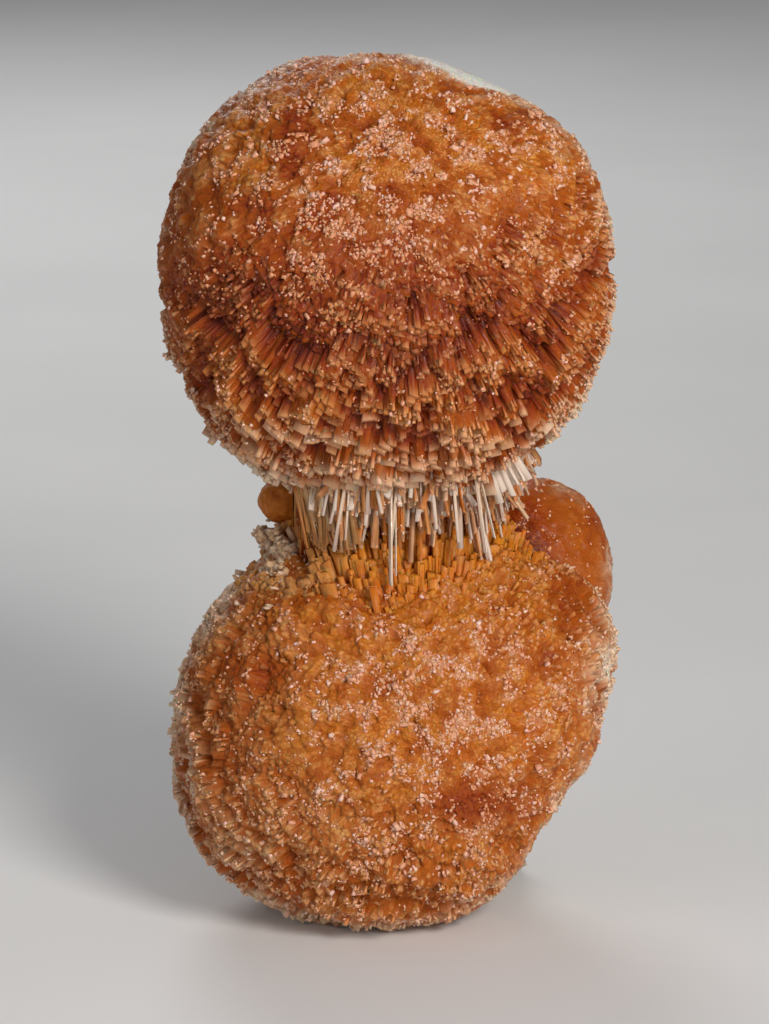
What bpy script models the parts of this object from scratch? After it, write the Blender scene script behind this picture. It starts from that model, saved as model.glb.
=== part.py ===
"""Thomsonite: two radiating crystal balls grown together one above the other, on a remnant of brown rock."""

import math

import bmesh
import bpy
import numpy as np
from mathutils import Euler, Matrix, Vector, noise

# All dimensions are in millimetres, with +Z up and the front towards -Y. A mesh is scaled to metres when it is made.
MM = 0.001

# Both balls face forward and a little up, by this angle.
FACE_UP = math.radians(14.0)
# The specimen is cut flat at this height, which becomes the ground it rests on.
GROUND = 1.6

# Each ball is an egg round its centre. Its rim holds half widths at even steps of angle, from the right and
# counter-clockwise as seen from the front. Front and back are its depths before and behind that rim.
# The crystals radiate from the nucleus, given here from the centre as right, back and up along the ball's own face.
# Ragged holds the ways, as right and up, in which the columns stand apart most.
UPPER_BALL = {
    "centre": (0.0, 0.5, 57.3),
    "rim": (19.2, 19.4, 17.8, 17.9, 18.6, 18.6, 18.4, 18.8, 19.3, 18.2, 19.7, 19.6),
    "front": 15.0,
    "back": 12.5,
    "nucleus": (1.0, 1.5, 6.2),
    "ragged": ((-0.3, -1.0), (0.5, -0.9), (-0.9, 0.0)),
    "relief": (0.4, 1.2),
    "columns": 350,
    "seed": 11,
}
LOWER_BALL = {
    "centre": (0.9, 1.0, 17.8),
    "rim": (17.8, 20.6, 18.6, 16.8, 17.6, 18.2, 18.5, 19.4, 18.0, 17.2, 16.6, 15.3),
    "front": 15.2,
    "back": 14.5,
    "nucleus": (2.0, 2.0, 1.5),
    "ragged": ((-0.2, 1.1), (-0.9, -0.3), (0.8, 0.7)),
    "relief": (0.45, 1.15),
    "columns": 340,
    "seed": 23,
}
# The smooth lobe behind the neck at the right
LOBE = {
    "centre": (12.5, 7.4, 30.1),
    "rim": (7.3, 7.6, 6.6, 8.2),
    "front": 7.0,
    "back": 7.0,
    "nucleus": (-2.0, -1.5, -1.0),
    "ragged": ((0.0, -1.0),),
    "relief": (0.35, 0.5),
    "columns": 60,
    "seed": 47,
}
# How square the balls' sections are: 2 is an ellipse.
FULLNESS = 2.2
# Crystal columns end on steps of this height, so that neighbours are level or clearly apart.
STEP = 0.38
BUNDLE_WIDTH = 4.5
PLACE_JITTER = 0.42
# How much closer the columns stand at the front than at the back
FRONT_CROWDING = 0.3
LONGEST_COLUMN = 60.0
# Columns whose ends come this near the ground reach it, so that the flat spot is whole.
REACHES_GROUND = 0.7

# The core of the pinched neck, and the small amber lump left of it
NECK = {"centre": (1.1, 2.9, 36.0), "radii": (9.0, 7.9, 9.0), "bumps": (1.2, 0.6)}
LUMP = {"centre": (-7.9, 2.2, 37.2), "radii": (2.3, 2.6, 1.8), "bumps": (0.3,)}

# The pale blocks below that lump
BLOCK_COUNT = 11
BLOCK_CENTRE = (-8.6, 1.4, 33.8)
BLOCK_SPREAD = (2.6, 2.4, 1.8)
BLOCK_LENGTH = (2.2, 3.6)
BLOCK_WIDTH = (1.0, 1.9)

# Flat blades that hang from the upper ball all round the neck, and the longest ones in front of it, which have
# their own place across, length and width
FRINGE_COUNT = 30
FRINGE_CENTRE = (1.4, 1.3)
FRINGE_RADII = (9.8, 9.0)
FRINGE_DEPTH = 2.4
FRINGE_LEAN = (-12, 6)
FRINGE_TOP = 41.5
FRINGE_LENGTH = (4.2, 7.6)
FRINGE_WIDTH = (1.2, 2.3)
FRINGE_ROLL = 0.6
FRINGE_SPLAY = 0.9
LONG_BLADES = (
    (-3.2, 6.8, 1.0),
    (0.5, 9.6, 1.0),
    (1.5, 6.9, 1.2),
    (5.3, 6.8, 1.1),
    (7.8, 7.2, 1.3),
)
LONG_BLADE_FRONT = -8.0
BLADE_FLATNESS = 0.62

# The rock fills a corner under the back of the lower ball, with a thin gap to it. A cavity opens at its right.
ROCK_CORNER = (-2.4, 4.4, 8.4)
ROCK_TURN = (math.radians(5), math.radians(7), math.radians(9))
ROCK_REACH = 40.0
ROCK_GAP = 0.3
ROCK = {"centre": (4.6, 9.8, 4.4), "radii": (7.6, 7.4, 6.6), "bumps": (1.6, 0.9, 0.45)}
CAVITY = {"centre": (11.2, 10.2, 4.8), "radii": (3.0, 2.6, 1.9), "bumps": (0.5,)}
BUMP_WIDTH = 3.4


def clear_scene():
    for obj in list(bpy.data.objects):
        bpy.data.objects.remove(obj, do_unlink=True)


def make_material(name, colour, roughness):
    material = bpy.data.materials.new(name)
    material.use_nodes = True
    shader = material.node_tree.nodes["Principled BSDF"]
    shader.inputs["Base Color"].default_value = (*colour, 1.0)
    shader.inputs["Roughness"].default_value = roughness
    shader.inputs["Metallic"].default_value = 0.0
    return material


def object_from_bmesh(name, shape, material=None):
    """A scene object of this shape, scaled from millimetres to metres."""
    bmesh.ops.scale(shape, vec=(MM, MM, MM), verts=shape.verts)
    mesh = bpy.data.meshes.new(name)
    shape.to_mesh(mesh)
    shape.free()
    if material:
        mesh.materials.append(material)
    obj = bpy.data.objects.new(name, mesh)
    bpy.context.scene.collection.objects.link(obj)
    return obj


def as_helper(obj):
    obj.hide_render = True
    obj.display_type = "WIRE"
    return obj


def face_axes():
    """Right, back and up along the face of a ball, as columns of a matrix."""
    return np.array(Matrix.Rotation(-FACE_UP, 3, "X"))


def rim_radius(ball, angle):
    """The ball's half width at an angle round its rim, on a smooth closed curve through the stated ones."""
    rim = ball["rim"]
    place = (angle / (2 * math.pi) * len(rim)) % len(rim)
    first = int(place)
    part = place - first
    before, start, end, after = (rim[(first + k) % len(rim)] for k in (-1, 0, 1, 2))
    slope = end - before
    bend = 2 * before - 5 * start + 4 * end - after
    twist = 3 * (start - end) + after - before
    return start + 0.5 * part * (slope + part * (bend + part * twist))


def inside_ball(ball, local):
    """Under 1 inside the ball's smooth form, and over 1 outside it."""
    right, back, up = local
    width = math.hypot(right, up) / rim_radius(ball, math.atan2(up, right))
    depth = abs(back) / (ball["back"] if back > 0 else ball["front"])
    return width**FULLNESS + depth**FULLNESS


def distance_to_form(ball, start, direction):
    """How far the ball's smooth form lies from a point inside it."""
    near, far = 0.0, LONGEST_COLUMN
    for _ in range(30):
        middle = (near + far) / 2
        if inside_ball(ball, start + middle * direction) < 1:
            near = middle
        else:
            far = middle
    return near


def spread_directions(count, seed):
    """Directions spread with some jitter on a spiral round the back-to-front axis, closer together at the front."""
    random = np.random.default_rng(seed)
    place = np.arange(count)
    spacing = math.sqrt(4 * math.pi / count)
    back = 1 - 2 * (place + 0.5) / count
    back -= FRONT_CROWDING * (1 - back**2) / 2
    turn = place * math.pi * (3 - math.sqrt(5))
    ring = np.sqrt(1 - back**2)
    directions = np.stack([ring * np.cos(turn), back, ring * np.sin(turn)], axis=1)
    directions += random.uniform(-1, 1, directions.shape) * PLACE_JITTER * spacing
    return directions / np.linalg.norm(directions, axis=1)[:, None]


def raggedness(ball, local):
    """0 where the ball is smooth and knobbly, and 1 where its columns stand apart. Its back is smoother."""
    right, back, up = local
    width = ball["rim"][0]
    most = max(right * aim[0] + up * aim[1] for aim in ball["ragged"]) / width
    hidden = max(0.0, back / ball["back"])
    return min(1.0, max(0.0, 0.1 + 1.1 * most)) * (1 - 0.5 * hidden)


def column_steps(ball, axes, origin):
    """Each column's direction from the nucleus, and its length in whole steps."""
    directions, steps = [], []
    nucleus = np.array(ball["nucleus"])
    smooth_relief, ragged_relief = ball["relief"]
    random = np.random.default_rng(ball["seed"] + 1)
    for outward in spread_directions(ball["columns"], ball["seed"]):
        place = outward * distance_to_form(ball, np.zeros(3), outward)
        column = place - nucleus
        length = np.linalg.norm(column)
        direction = column / length
        relief = smooth_relief + (ragged_relief - smooth_relief) * raggedness(ball, place)
        bundle = noise.noise(Vector(axes @ place) / BUNDLE_WIDTH + Vector((ball["seed"],) * 3))
        change = relief * (1.1 * bundle + random.uniform(-0.75, 0.25))
        tip = origin + axes @ column
        if tip[2] < GROUND + REACHES_GROUND:
            change = REACHES_GROUND + 2 * STEP
        directions.append(direction)
        steps.append(round((length + change) / STEP))
    return np.array(directions), steps


def sphere_triangles(directions):
    """Triangles that join neighbouring directions, as triples of their places in the list."""
    hull = bmesh.new()
    for direction in directions:
        hull.verts.new(direction)
    hull.verts.index_update()
    bmesh.ops.convex_hull(hull, input=hull.verts)
    triangles = []
    for face in hull.faces:
        corners = [vert.index for vert in face.verts]
        middle = sum((directions[k] for k in corners), np.zeros(3))
        if np.dot(np.array(face.normal), middle) < 0:
            corners.reverse()
        triangles.append(tuple(corners))
    hull.free()
    return triangles


def column_ball(ball):
    """A closed mesh of columns that radiate from the nucleus. Each ends in a flat face across its own axis."""
    axes = face_axes()
    origin = np.array(ball["centre"]) + axes @ np.array(ball["nucleus"])
    directions, steps = column_steps(ball, axes, origin)
    triangles = sphere_triangles(directions)

    # Three columns meet along a line through each triangle's own centre, and each makes a corner where it ends.
    corner_lines, leans = [], []
    for a, b, c in triangles:
        line = np.cross(directions[b] - directions[a], directions[c] - directions[a])
        line /= np.linalg.norm(line)
        corner_lines.append(line)
        leans.append(np.dot(line, directions[a]))
    shape = bmesh.new()
    corners = {}

    def corner(triangle, step):
        if (triangle, step) not in corners:
            reach = step * STEP / leans[triangle]
            corners[triangle, step] = shape.verts.new(origin + axes @ (corner_lines[triangle] * reach))
        return corners[triangle, step]

    around = {}
    for triangle, (a, b, c) in enumerate(triangles):
        for first, second in ((a, b), (b, c), (c, a)):
            around[first, second] = triangle
    ring_start = {first: second for first, second in around}
    for column, step in enumerate(steps):
        ring, second = [], ring_start[column]
        while not ring or around[column, second] != ring[0]:
            triangle = around[column, second]
            ring.append(triangle)
            second = next(k for k in triangles[triangle] if k not in (column, second))
        tip = [corner(triangle, step) for triangle in ring]
        for k in range(1, len(tip) - 1):
            shape.faces.new((tip[0], tip[k], tip[k + 1]))
    for (first, second), left in around.items():
        right = around[second, first]
        high, low = steps[first], steps[second]
        if high <= low:
            continue
        sides = []
        for triangle in (right, left):
            levels = {steps[k] for k in triangles[triangle]}
            levels = sorted((level for level in levels if low <= level <= high), reverse=True)
            sides.append([corner(triangle, level) for level in levels])
        here, there = sides
        while len(here) > 1 or len(there) > 1:
            if len(here) > 1:
                shape.faces.new((there[0], here[0], here[1]))
                here.pop(0)
            else:
                shape.faces.new((there[0], here[0], there[1]))
                there.pop(0)
    bmesh.ops.recalc_face_normals(shape, faces=shape.faces)
    return shape


def lumpy_shape(form, subdivisions):
    """A rounded lump with bumps, each set half as wide as the one before."""
    shape = bmesh.new()
    bmesh.ops.create_icosphere(shape, subdivisions=subdivisions, radius=1.0)
    centre, radii = Vector(form["centre"]), Vector(form["radii"])
    for vert in shape.verts:
        outward = vert.co.normalized()
        place = centre + outward * radii
        vert.co = place
        for octave, height in enumerate(form["bumps"]):
            vert.co += outward * height * noise.noise(place * 2**octave / BUMP_WIDTH)
    return shape


def block(size, place, turn):
    """A square-sided crystal with a slanted end."""
    shape = bmesh.new()
    bmesh.ops.create_cube(shape, size=1.0)
    for vert in shape.verts:
        if vert.co.z < 0 and vert.co.x > 0:
            vert.co.z += 0.16
    bmesh.ops.scale(shape, vec=size, verts=shape.verts)
    bmesh.ops.transform(shape, matrix=Matrix.Translation(place) @ turn.to_4x4(), verts=shape.verts)
    return shape


def blocks():
    """Pale blocks that lie every way in a small heap."""
    random = np.random.default_rng(5)
    for _ in range(BLOCK_COUNT):
        place = Vector(BLOCK_CENTRE) + Vector(random.uniform(-1, 1, 3)) * Vector(BLOCK_SPREAD)
        width = random.uniform(*BLOCK_WIDTH)
        size = (width, width * random.uniform(0.6, 0.9), random.uniform(*BLOCK_LENGTH))
        yield block(size, place, Euler(random.uniform(-1.2, 1.2, 3)).to_matrix())


def blade(angle, radii, length, width, lean, roll):
    """A flat blade that hangs beside the neck, at an angle round it from the right, towards the back."""
    outward = Vector((math.cos(angle), math.sin(angle), 0.0))
    middle = Vector((*FRINGE_CENTRE, FRINGE_TOP - length / 2))
    place = middle + outward * Vector((*radii, 0.0))
    tilt = Matrix.Rotation(lean, 3, Vector((-outward.y, outward.x, 0.0)))
    turn = tilt @ Matrix.Rotation(angle + math.pi / 2 + roll, 3, "Z")
    return block((width, width * BLADE_FLATNESS, length), place, turn)


def fringe():
    """Blades that hang all round the neck, splayed a little, and the longest ones in front."""
    random = np.random.default_rng(8)
    for number in range(FRINGE_COUNT):
        angle = (number + random.uniform(-0.3, 0.3)) * 2 * math.pi / FRINGE_COUNT
        radii = Vector(FRINGE_RADII) - Vector((1, 1)) * random.uniform(0.0, FRINGE_DEPTH)
        lean = math.radians(random.uniform(*FRINGE_LEAN))
        length, width = random.uniform(*FRINGE_LENGTH), random.uniform(*FRINGE_WIDTH)
        yield blade(angle, radii, length, width, lean, random.uniform(-FRINGE_ROLL, FRINGE_ROLL))
    for across, length, width in LONG_BLADES:
        place = Vector((across, LONG_BLADE_FRONT + 0.02 * across**2, FRINGE_TOP - length / 2))
        turn = Euler((math.radians(-4), math.radians(-FRINGE_SPLAY * across), 0.05 * across)).to_matrix()
        yield block((width, width * BLADE_FLATNESS, length), place, turn)


def boolean(obj, operation, other):
    modifier = obj.modifiers.new(other.name, "BOOLEAN")
    modifier.operation = operation
    modifier.solver = "MANIFOLD"
    modifier.object = as_helper(other)
    graph = bpy.context.evaluated_depsgraph_get()
    result = bpy.data.meshes.new_from_object(obj.evaluated_get(graph))
    obj.modifiers.clear()
    obj.data = result
    bpy.data.objects.remove(other, do_unlink=True)
    shape = bmesh.new()
    shape.from_mesh(result)
    bmesh.ops.triangulate(shape, faces=shape.faces)
    shape.to_mesh(result)
    shape.free()


def keep_largest_body(obj):
    """Drops loose crumbs, and the walls of pockets that a union has sealed."""
    shape = bmesh.new()
    shape.from_mesh(obj.data)
    bodies = []
    waiting = set(shape.verts)
    while waiting:
        body, edge_of_search = set(), [waiting.pop()]
        while edge_of_search:
            vert = edge_of_search.pop()
            body.add(vert)
            for edge in vert.link_edges:
                other = edge.other_vert(vert)
                if other in waiting:
                    waiting.remove(other)
                    edge_of_search.append(other)
        bodies.append(body)
    largest = max(bodies, key=len)
    crumbs = [vert for body in bodies if body is not largest for vert in body]
    bmesh.ops.delete(shape, geom=crumbs, context="VERTS")
    shape.to_mesh(obj.data)
    shape.free()


def corner_block(name, gap):
    """The space of the rock, under the back of the lower ball. A gap makes it smaller on the sides that meet it."""
    low = Vector((gap, gap, -ROCK_REACH))
    high = Vector((ROCK_REACH, ROCK_REACH, -gap))
    shape = bmesh.new()
    bmesh.ops.create_cube(shape, size=1.0)
    for vert in shape.verts:
        vert.co = (low + high) / 2 + vert.co * (high - low)
    place = Matrix.Translation(ROCK_CORNER) @ Euler(ROCK_TURN).to_matrix().to_4x4()
    bmesh.ops.transform(shape, matrix=place, verts=shape.verts)
    return object_from_bmesh(name, shape)


def ground_block(name):
    """All the space under the flat spot that the specimen rests on."""
    shape = bmesh.new()
    bmesh.ops.create_cube(shape, size=1.0)
    for vert in shape.verts:
        vert.co = vert.co * Vector((100, 100, 40)) + Vector((0, 0, GROUND - 20))
    return object_from_bmesh(name, shape)


def make_thomsonite():
    peach = make_material("thomsonite_peach", (0.46, 0.17, 0.055), 0.45)
    body = object_from_bmesh("thomsonite", column_ball(UPPER_BALL), peach)
    additions = [column_ball(LOWER_BALL), column_ball(LOBE), lumpy_shape(NECK, 2), lumpy_shape(LUMP, 2)]
    additions += [*blocks(), *fringe()]
    for number, shape in enumerate(additions):
        boolean(body, "UNION", object_from_bmesh(f"growth_{number}", shape))
    boolean(body, "DIFFERENCE", corner_block("rock_room", 0.0))
    boolean(body, "DIFFERENCE", ground_block("ground"))
    keep_largest_body(body)
    return body


def make_matrix():
    brown = make_material("rock_brown", (0.12, 0.06, 0.035), 0.9)
    rock = object_from_bmesh("matrix", lumpy_shape(ROCK, 3), brown)
    boolean(rock, "INTERSECT", corner_block("rock_side", ROCK_GAP))
    boolean(rock, "DIFFERENCE", object_from_bmesh("cavity", lumpy_shape(CAVITY, 2)))
    boolean(rock, "DIFFERENCE", ground_block("ground"))
    keep_largest_body(rock)
    return rock


def centre_on_origin(objects):
    """Puts the origin at the bottom, in the middle of the whole specimen."""
    places = np.array([vert.co for obj in objects for vert in obj.data.vertices])
    low, high = places.min(axis=0), places.max(axis=0)
    shift = Matrix.Translation((-(low[0] + high[0]) / 2, -(low[1] + high[1]) / 2, -low[2]))
    for obj in objects:
        obj.data.transform(shift)


def main():
    clear_scene()
    centre_on_origin([make_thomsonite(), make_matrix()])


main()
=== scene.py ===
import math

import bpy
import numpy as np
from mathutils import Matrix, Vector, bvhtree, noise


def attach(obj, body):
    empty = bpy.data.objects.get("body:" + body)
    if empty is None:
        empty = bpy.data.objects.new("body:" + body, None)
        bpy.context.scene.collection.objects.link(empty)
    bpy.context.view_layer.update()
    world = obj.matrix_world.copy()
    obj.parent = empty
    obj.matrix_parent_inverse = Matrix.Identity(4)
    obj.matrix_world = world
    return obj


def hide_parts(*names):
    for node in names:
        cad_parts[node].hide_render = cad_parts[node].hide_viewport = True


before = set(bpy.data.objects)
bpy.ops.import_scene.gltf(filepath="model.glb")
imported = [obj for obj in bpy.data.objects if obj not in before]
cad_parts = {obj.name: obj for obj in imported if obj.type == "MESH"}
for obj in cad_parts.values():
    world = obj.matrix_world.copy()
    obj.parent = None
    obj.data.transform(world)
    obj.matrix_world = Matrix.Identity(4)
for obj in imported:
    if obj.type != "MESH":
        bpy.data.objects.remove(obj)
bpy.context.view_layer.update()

# The looks of a thomsonite specimen: two radiating crystal balls grown together, on a remnant of brown
# rock. Lengths are in millimetres in the frame's axes, with +Z up and the front towards -Y. A mesh is
# scaled to metres when it is made. The floor, lights and camera are placed in metres.
MM = 0.001
BODY, ROCK = "thomsonite", "matrix"
# The name that the meshes' flat map is given.
BAKE_MAP = "OFBake"

# Both balls face forward and a little up, by this angle, as the camera does. Where the fullness is 2 their
# sections are ellipses, and above that they are a little squarer.
FACE_UP = math.radians(14.0)
FULLNESS = 2.2
# Right, back and up along the face of a ball, as columns
AXES = np.array(Matrix.Rotation(-FACE_UP, 3, "X"))
# Further than any search inside the specimen goes, and how often such a search is halved
LONGEST = 60.0
HALVINGS = 26
FULL_TURN = 2 * math.pi
BACKWARD, UPWARD = np.array([0.0, 1.0, 0.0]), np.array([0.0, 0.0, 1.0])

# The crystal grows as laths, in bundles, in clumps. A lath keeps its width. Bundles and clumps widen away
# from the ball's source, and these are their widths where they are this far from it.
LATH_SIZE, BUNDLE_SIZE, CLUMP_SIZE = 0.54, 1.6, 3.6
SPREAD_AT = 14.0
# The width of the knobs on the skin
LUMP = 1.5
# How far ends stand above and below the ball's smooth form where it isn't ragged
SMOOTH_RELIEF = 0.36

# A ball is an egg round its centre, as its solid is: half widths round the rim from the right and
# counter-clockwise, and depths before and behind it. Right, back and up are measured from the centre along
# the ball's own face, and its crystals radiate from the source. It is ragged in each stated direction right
# and up, from a start, up to the stated share. The relief is how far ends stand out and in there, and crisp
# is the share of its front laths that stand apart. Painted shade deepens the colour with depth: gap is how
# fast, shade is how much all over, and stain and shade is how much in its red patches, which are partly the
# crystal's dark streaks and partly painted shade. Pale_from is how far behind the rim its pale back starts.
# Lumpy is the share that it keeps of the knobs and of their pale bloom, which is partly a painted highlight
# on their tops.
PLAIN_BALL = {
    "ragged": (),
    "relief": SMOOTH_RELIEF,
    "gap": 1.0,
    "shade": 0.0,
    "stain_and_shade": 0.6,
    "pale_from": 0.0,
    "lumpy": 1.0,
}
UPPER = PLAIN_BALL | {
    "name": "upper",
    "centre": (-0.74, -0.45, 55.7),
    "rim": (19.2, 19.4, 17.8, 17.9, 18.6, 18.6, 18.4, 18.8, 19.3, 18.2, 19.7, 19.6),
    "front": 15.0,
    "back": 12.5,
    "source": (1.6, -8.0, 7.5),
    "ragged": ((0.0, -1.0, -1.5, 1.0), (0.5, -0.9, 1.0, 1.0), (-0.9, 0.0, 10.0, 0.25)),
    "relief": 1.35,
    "gap": 1.25,
    "crisp": 1.0,
    "seed": 11,
}
LOWER = PLAIN_BALL | {
    "name": "lower",
    "centre": (0.16, 0.05, 16.2),
    "rim": (17.8, 20.6, 18.6, 16.8, 17.6, 18.2, 18.5, 19.4, 18.0, 17.2, 16.6, 15.3),
    "front": 15.2,
    "back": 14.5,
    "source": (2.8, -7.5, 0.5),
    "ragged": ((-0.9, -0.2, 6.0, 0.75), (0.8, 0.7, 10.0, 0.7), (-0.3, -1.0, 5.0, 0.8)),
    "relief": 1.1,
    "gap": 0.75,
    "shade": 0.12,
    "crisp": 0.6,
    "seed": 23,
}
# The smooth lobe behind the neck at the right
LOBE = PLAIN_BALL | {
    "name": "lobe",
    "centre": (11.76, 6.45, 28.5),
    "rim": (7.3, 7.6, 6.6, 8.2),
    "front": 7.0,
    "back": 7.0,
    "source": (-2.0, -1.5, -1.0),
    "shade": 1.0,
    "stain_and_shade": 1.8,
    "pale_from": 3.0,
    "lumpy": 0.45,
    "seed": 47,
}
# The core of the pinched neck, ragged all over and painted dark as the shade between its crystals, and the
# amber knob left of it
NECK = PLAIN_BALL | {
    "name": "neck",
    "centre": (0.36, 1.95, 34.4),
    "rim": (9.2, 9.6, 9.2, 9.6),
    "front": 7.9,
    "back": 7.9,
    "source": (0.0, 0.0, 0.0),
    "ragged": ((0.0, 1.0, -LONGEST, 1.0),),
    "shade": 1.0,
    "pale_from": 5.0,
    "seed": 61,
}
KNOB = PLAIN_BALL | {
    "name": "knob",
    "centre": (-8.64, 1.25, 35.6),
    "rim": (2.4, 2.0, 2.4, 2.0),
    "front": 2.6,
    "back": 2.6,
    "source": (0.0, 0.0, 0.0),
    "shade": 0.6,
    "pale_from": 12.0,
    "lumpy": 0.3,
    "seed": 67,
}

# Soft patches of a ball's face, each with its place to the right and up, its half widths, and how strong it
# is. Red is deep red, partly the crystal's dark streaks and partly painted shade over its gaps, tan is dull
# brown crystal, amber is clear yellow crystal, sugar is dense white grains, fine is narrow laths, peach is
# bright pale ends, and cream is pale crystal.
PATCHES = {
    "upper": {
        "red": (
            (-7.2, 9.5, 1.2, 3.2, 0.9),
            (-9.5, 4.8, 2.4, 1.0, 0.9),
            (10.6, 11.5, 1.1, 1.0, 0.8),
            (-11.5, -1.8, 7.5, 2.4, 0.9),
            (1.0, -7.8, 7.5, 2.2, 0.8),
            (-3.0, -1.5, 16.0, 5.0, 0.85),
            (12.0, -3.0, 5.0, 3.0, 0.5),
        ),
        "tan": ((-19.0, -2.0, 4.0, 12.0, 0.8), (-12.0, -14.0, 6.0, 4.0, 0.4)),
        "amber": ((-2.0, 7.0, 14.0, 10.0, 0.6), (9.0, -3.0, 6.0, 5.0, 0.4)),
        "sugar": ((3.5, 9.0, 9.0, 6.5, 1.0), (-6.0, 8.0, 8.0, 8.0, 0.7), (13.0, 1.0, 5.0, 10.0, 0.6)),
        "fine": ((14.0, -8.0, 5.0, 8.0, 0.8),),
        "peach": ((0.0, -16.0, 14.0, 3.0, 0.4), (8.5, 0.5, 2.0, 1.6, 0.5), (1.0, 10.0, 14.0, 6.0, 0.6)),
        "cream": ((16.4, -12.0, 1.6, 2.6, 0.7), (-18.6, 1.0, 1.0, 5.0, 0.4), (0.0, -18.0, 14.0, 3.2, 0.28)),
    },
    "lower": {
        "red": ((7.2, -6.2, 3.0, 1.6, 0.9), (-12.0, 5.0, 3.0, 1.5, 0.5)),
        "tan": ((-15.5, 3.5, 5.5, 9.0, 0.7), (-13.0, -11.5, 7.5, 7.0, 0.8)),
        "amber": ((0.0, 13.0, 14.0, 7.0, 1.0), (-1.0, 1.0, 11.0, 9.0, 0.75)),
        "sugar": ((4.5, 3.0, 8.0, 6.0, 1.0), (2.0, -9.0, 12.0, 6.0, 0.5)),
        "fine": ((14.5, 10.0, 6.0, 6.0, 1.0),),
        "peach": ((0.0, -14.0, 14.0, 5.0, 0.9), (15.0, 0.0, 3.5, 9.0, 0.35), (-12.0, -9.0, 6.0, 6.0, 0.4)),
        "cream": ((-17.6, -4.0, 1.4, 2.2, 0.9), (17.8, 4.6, 1.4, 3.2, 0.8), (-14.0, -13.0, 3.0, 4.0, 0.3)),
    },
    "lobe": {
        "red": ((-1.2, 1.6, 2.0, 2.6, 1.0),),
        "amber": ((2.0, 2.0, 6.0, 6.0, 0.7),),
        "sugar": ((-1.0, 0.0, 3.0, 6.0, 1.0), (2.0, 0.0, 3.0, 5.0, 0.3)),
        "cream": ((7.4, -0.5, 0.9, 2.6, 0.9),),
    },
    "neck": {
        "red": ((0.0, 0.0, 30.0, 30.0, 0.4),),
        "tan": ((-8.0, 0.0, 6.0, 9.0, 0.6),),
        "amber": ((3.0, 0.0, 9.0, 9.0, 1.0),),
    },
    "knob": {"amber": ((0.0, 0.0, 9.0, 9.0, 1.0),)},
}

# The smooth white crust that comes round to the front at the upper ball's top right: its middle and half
# width in degrees, how far forward its edge comes, and how far back it ends
CRUST_ANGLE, CRUST_WIDTH, CRUST_EDGE, CRUST_BACK = 66.0, 18.0, -6.6, 1.5
# How much taller the knobs are at the foot of the lower ball
KNOBBLY = 0.8
# How far above and below the smooth form the solid's columns are looked for
REACH_ABOVE, REACH_BELOW = 2.4, 3.0
# Shares of finish that each place or crystal hands to the materials
TINTS = ("cream", "white", "red", "tan", "amber")
FINISHES = (*TINTS, "pale")

# The ends of the lath models: how far each slopes across and back, in degrees, how much narrower it is than
# the lath, and how far one side of it stands above the other, past the place of its step
LATH_ENDS = (
    (6, -10, 0.94, 0.0),
    (-14, 6, 0.88, 0.0),
    (16, 14, 0.92, 0.0),
    (-5, -16, 0.90, 0.28),
    (8, 10, 0.93, 0.45),
)
STEP_PLACE = 0.08
# The upper ball's lower fringe, from the height where it starts to where it is full, has wide slabs in this
# share of its laths.
FRINGE, SLAB_SHARE = (-11.0, -14.5), 0.26
# The share of the laths round the back that stand apart
BACK_SHARE = 0.7
# How often the surfaces are cut, and how much closer their points crowd at the front
BALL_CUTS, BALL_CROWDING = (3, 24), 0.4
LOBE_CUTS, NECK_CUTS, KNOB_CUTS, SMALL_CROWDING = (50,), (26,), (20,), 0.2
# Grains on the skins: how many are tried, their width, and how densely they cover
BALL_SUGAR, LOBE_SUGAR = (52000, 0.22, 2.2), (8000, 0.18, 1.8)
# Grains on the ends of laths: how many, and their width
BALL_CRUST, NECK_CRUST = (4000, 0.18), (1800, 0.17)

# Where the hanging laths start under the upper ball, how many there are, and how far they splay. Their tips
# stay right of the left limit at the front, where the knob takes their place.
HANG_CENTRE, HANG_RADII, HANG_TOP = (0.66, 0.35), (9.9, 9.1), 40.5
HANG_COUNT, HANG_WHITE, HANG_SPLAY, HANG_LEFT = 2900, 0.28, math.radians(17), -6.9
# The longest blades in front of the neck, each with its place across, length and width
LONG_BLADES = (
    (-3.6, 6.2, 0.30),
    (-3.3, 5.2, 0.20),
    (-1.7, 4.0, 0.34),
    (0.1, 9.0, 0.34),
    (0.4, 8.2, 0.18),
    (0.6, 7.0, 0.24),
    (3.4, 4.3, 0.36),
    (5.2, 5.4, 0.26),
    (7.1, 6.3, 0.34),
    (7.4, 5.2, 0.22),
)
LONG_BLADE_FRONT = -9.0
# A sheaf of cream laths at the right of the neck, which lean outwards side by side
SHEAF_PLACE, SHEAF_LEAN, SHEAF_COUNT, SHEAF_STEP = (8.9, -6.9, 41.6), math.radians(26), 6, 0.42
# Grey brown fibres at the left of the neck, which run down and to the right
FIBRE_COUNT, FIBRE_TOP, FIBRE_LEFT, FIBRE_RIGHT = 420, 40.3, -8.4, -3.6
# Amber columns that stand on the lower ball round the core of the neck: their middle and half widths, the
# least and most of these, how many, how high the tallest stand, and how deep they are sunk
COLUMN_CENTRE, COLUMN_RADII, COLUMN_RINGS, COLUMN_COUNT = (0.36, 1.95), (9.2, 7.9), (0.95, 1.5), 2300
COLUMN_MOST, COLUMN_SUNK = 5.6, 2.4
# Long laths that stand against the core of the neck all round it, with tips between these heights
CORE_COUNT, CORE_LOW, CORE_HIGH = 1300, 30.0, 41.5

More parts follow.
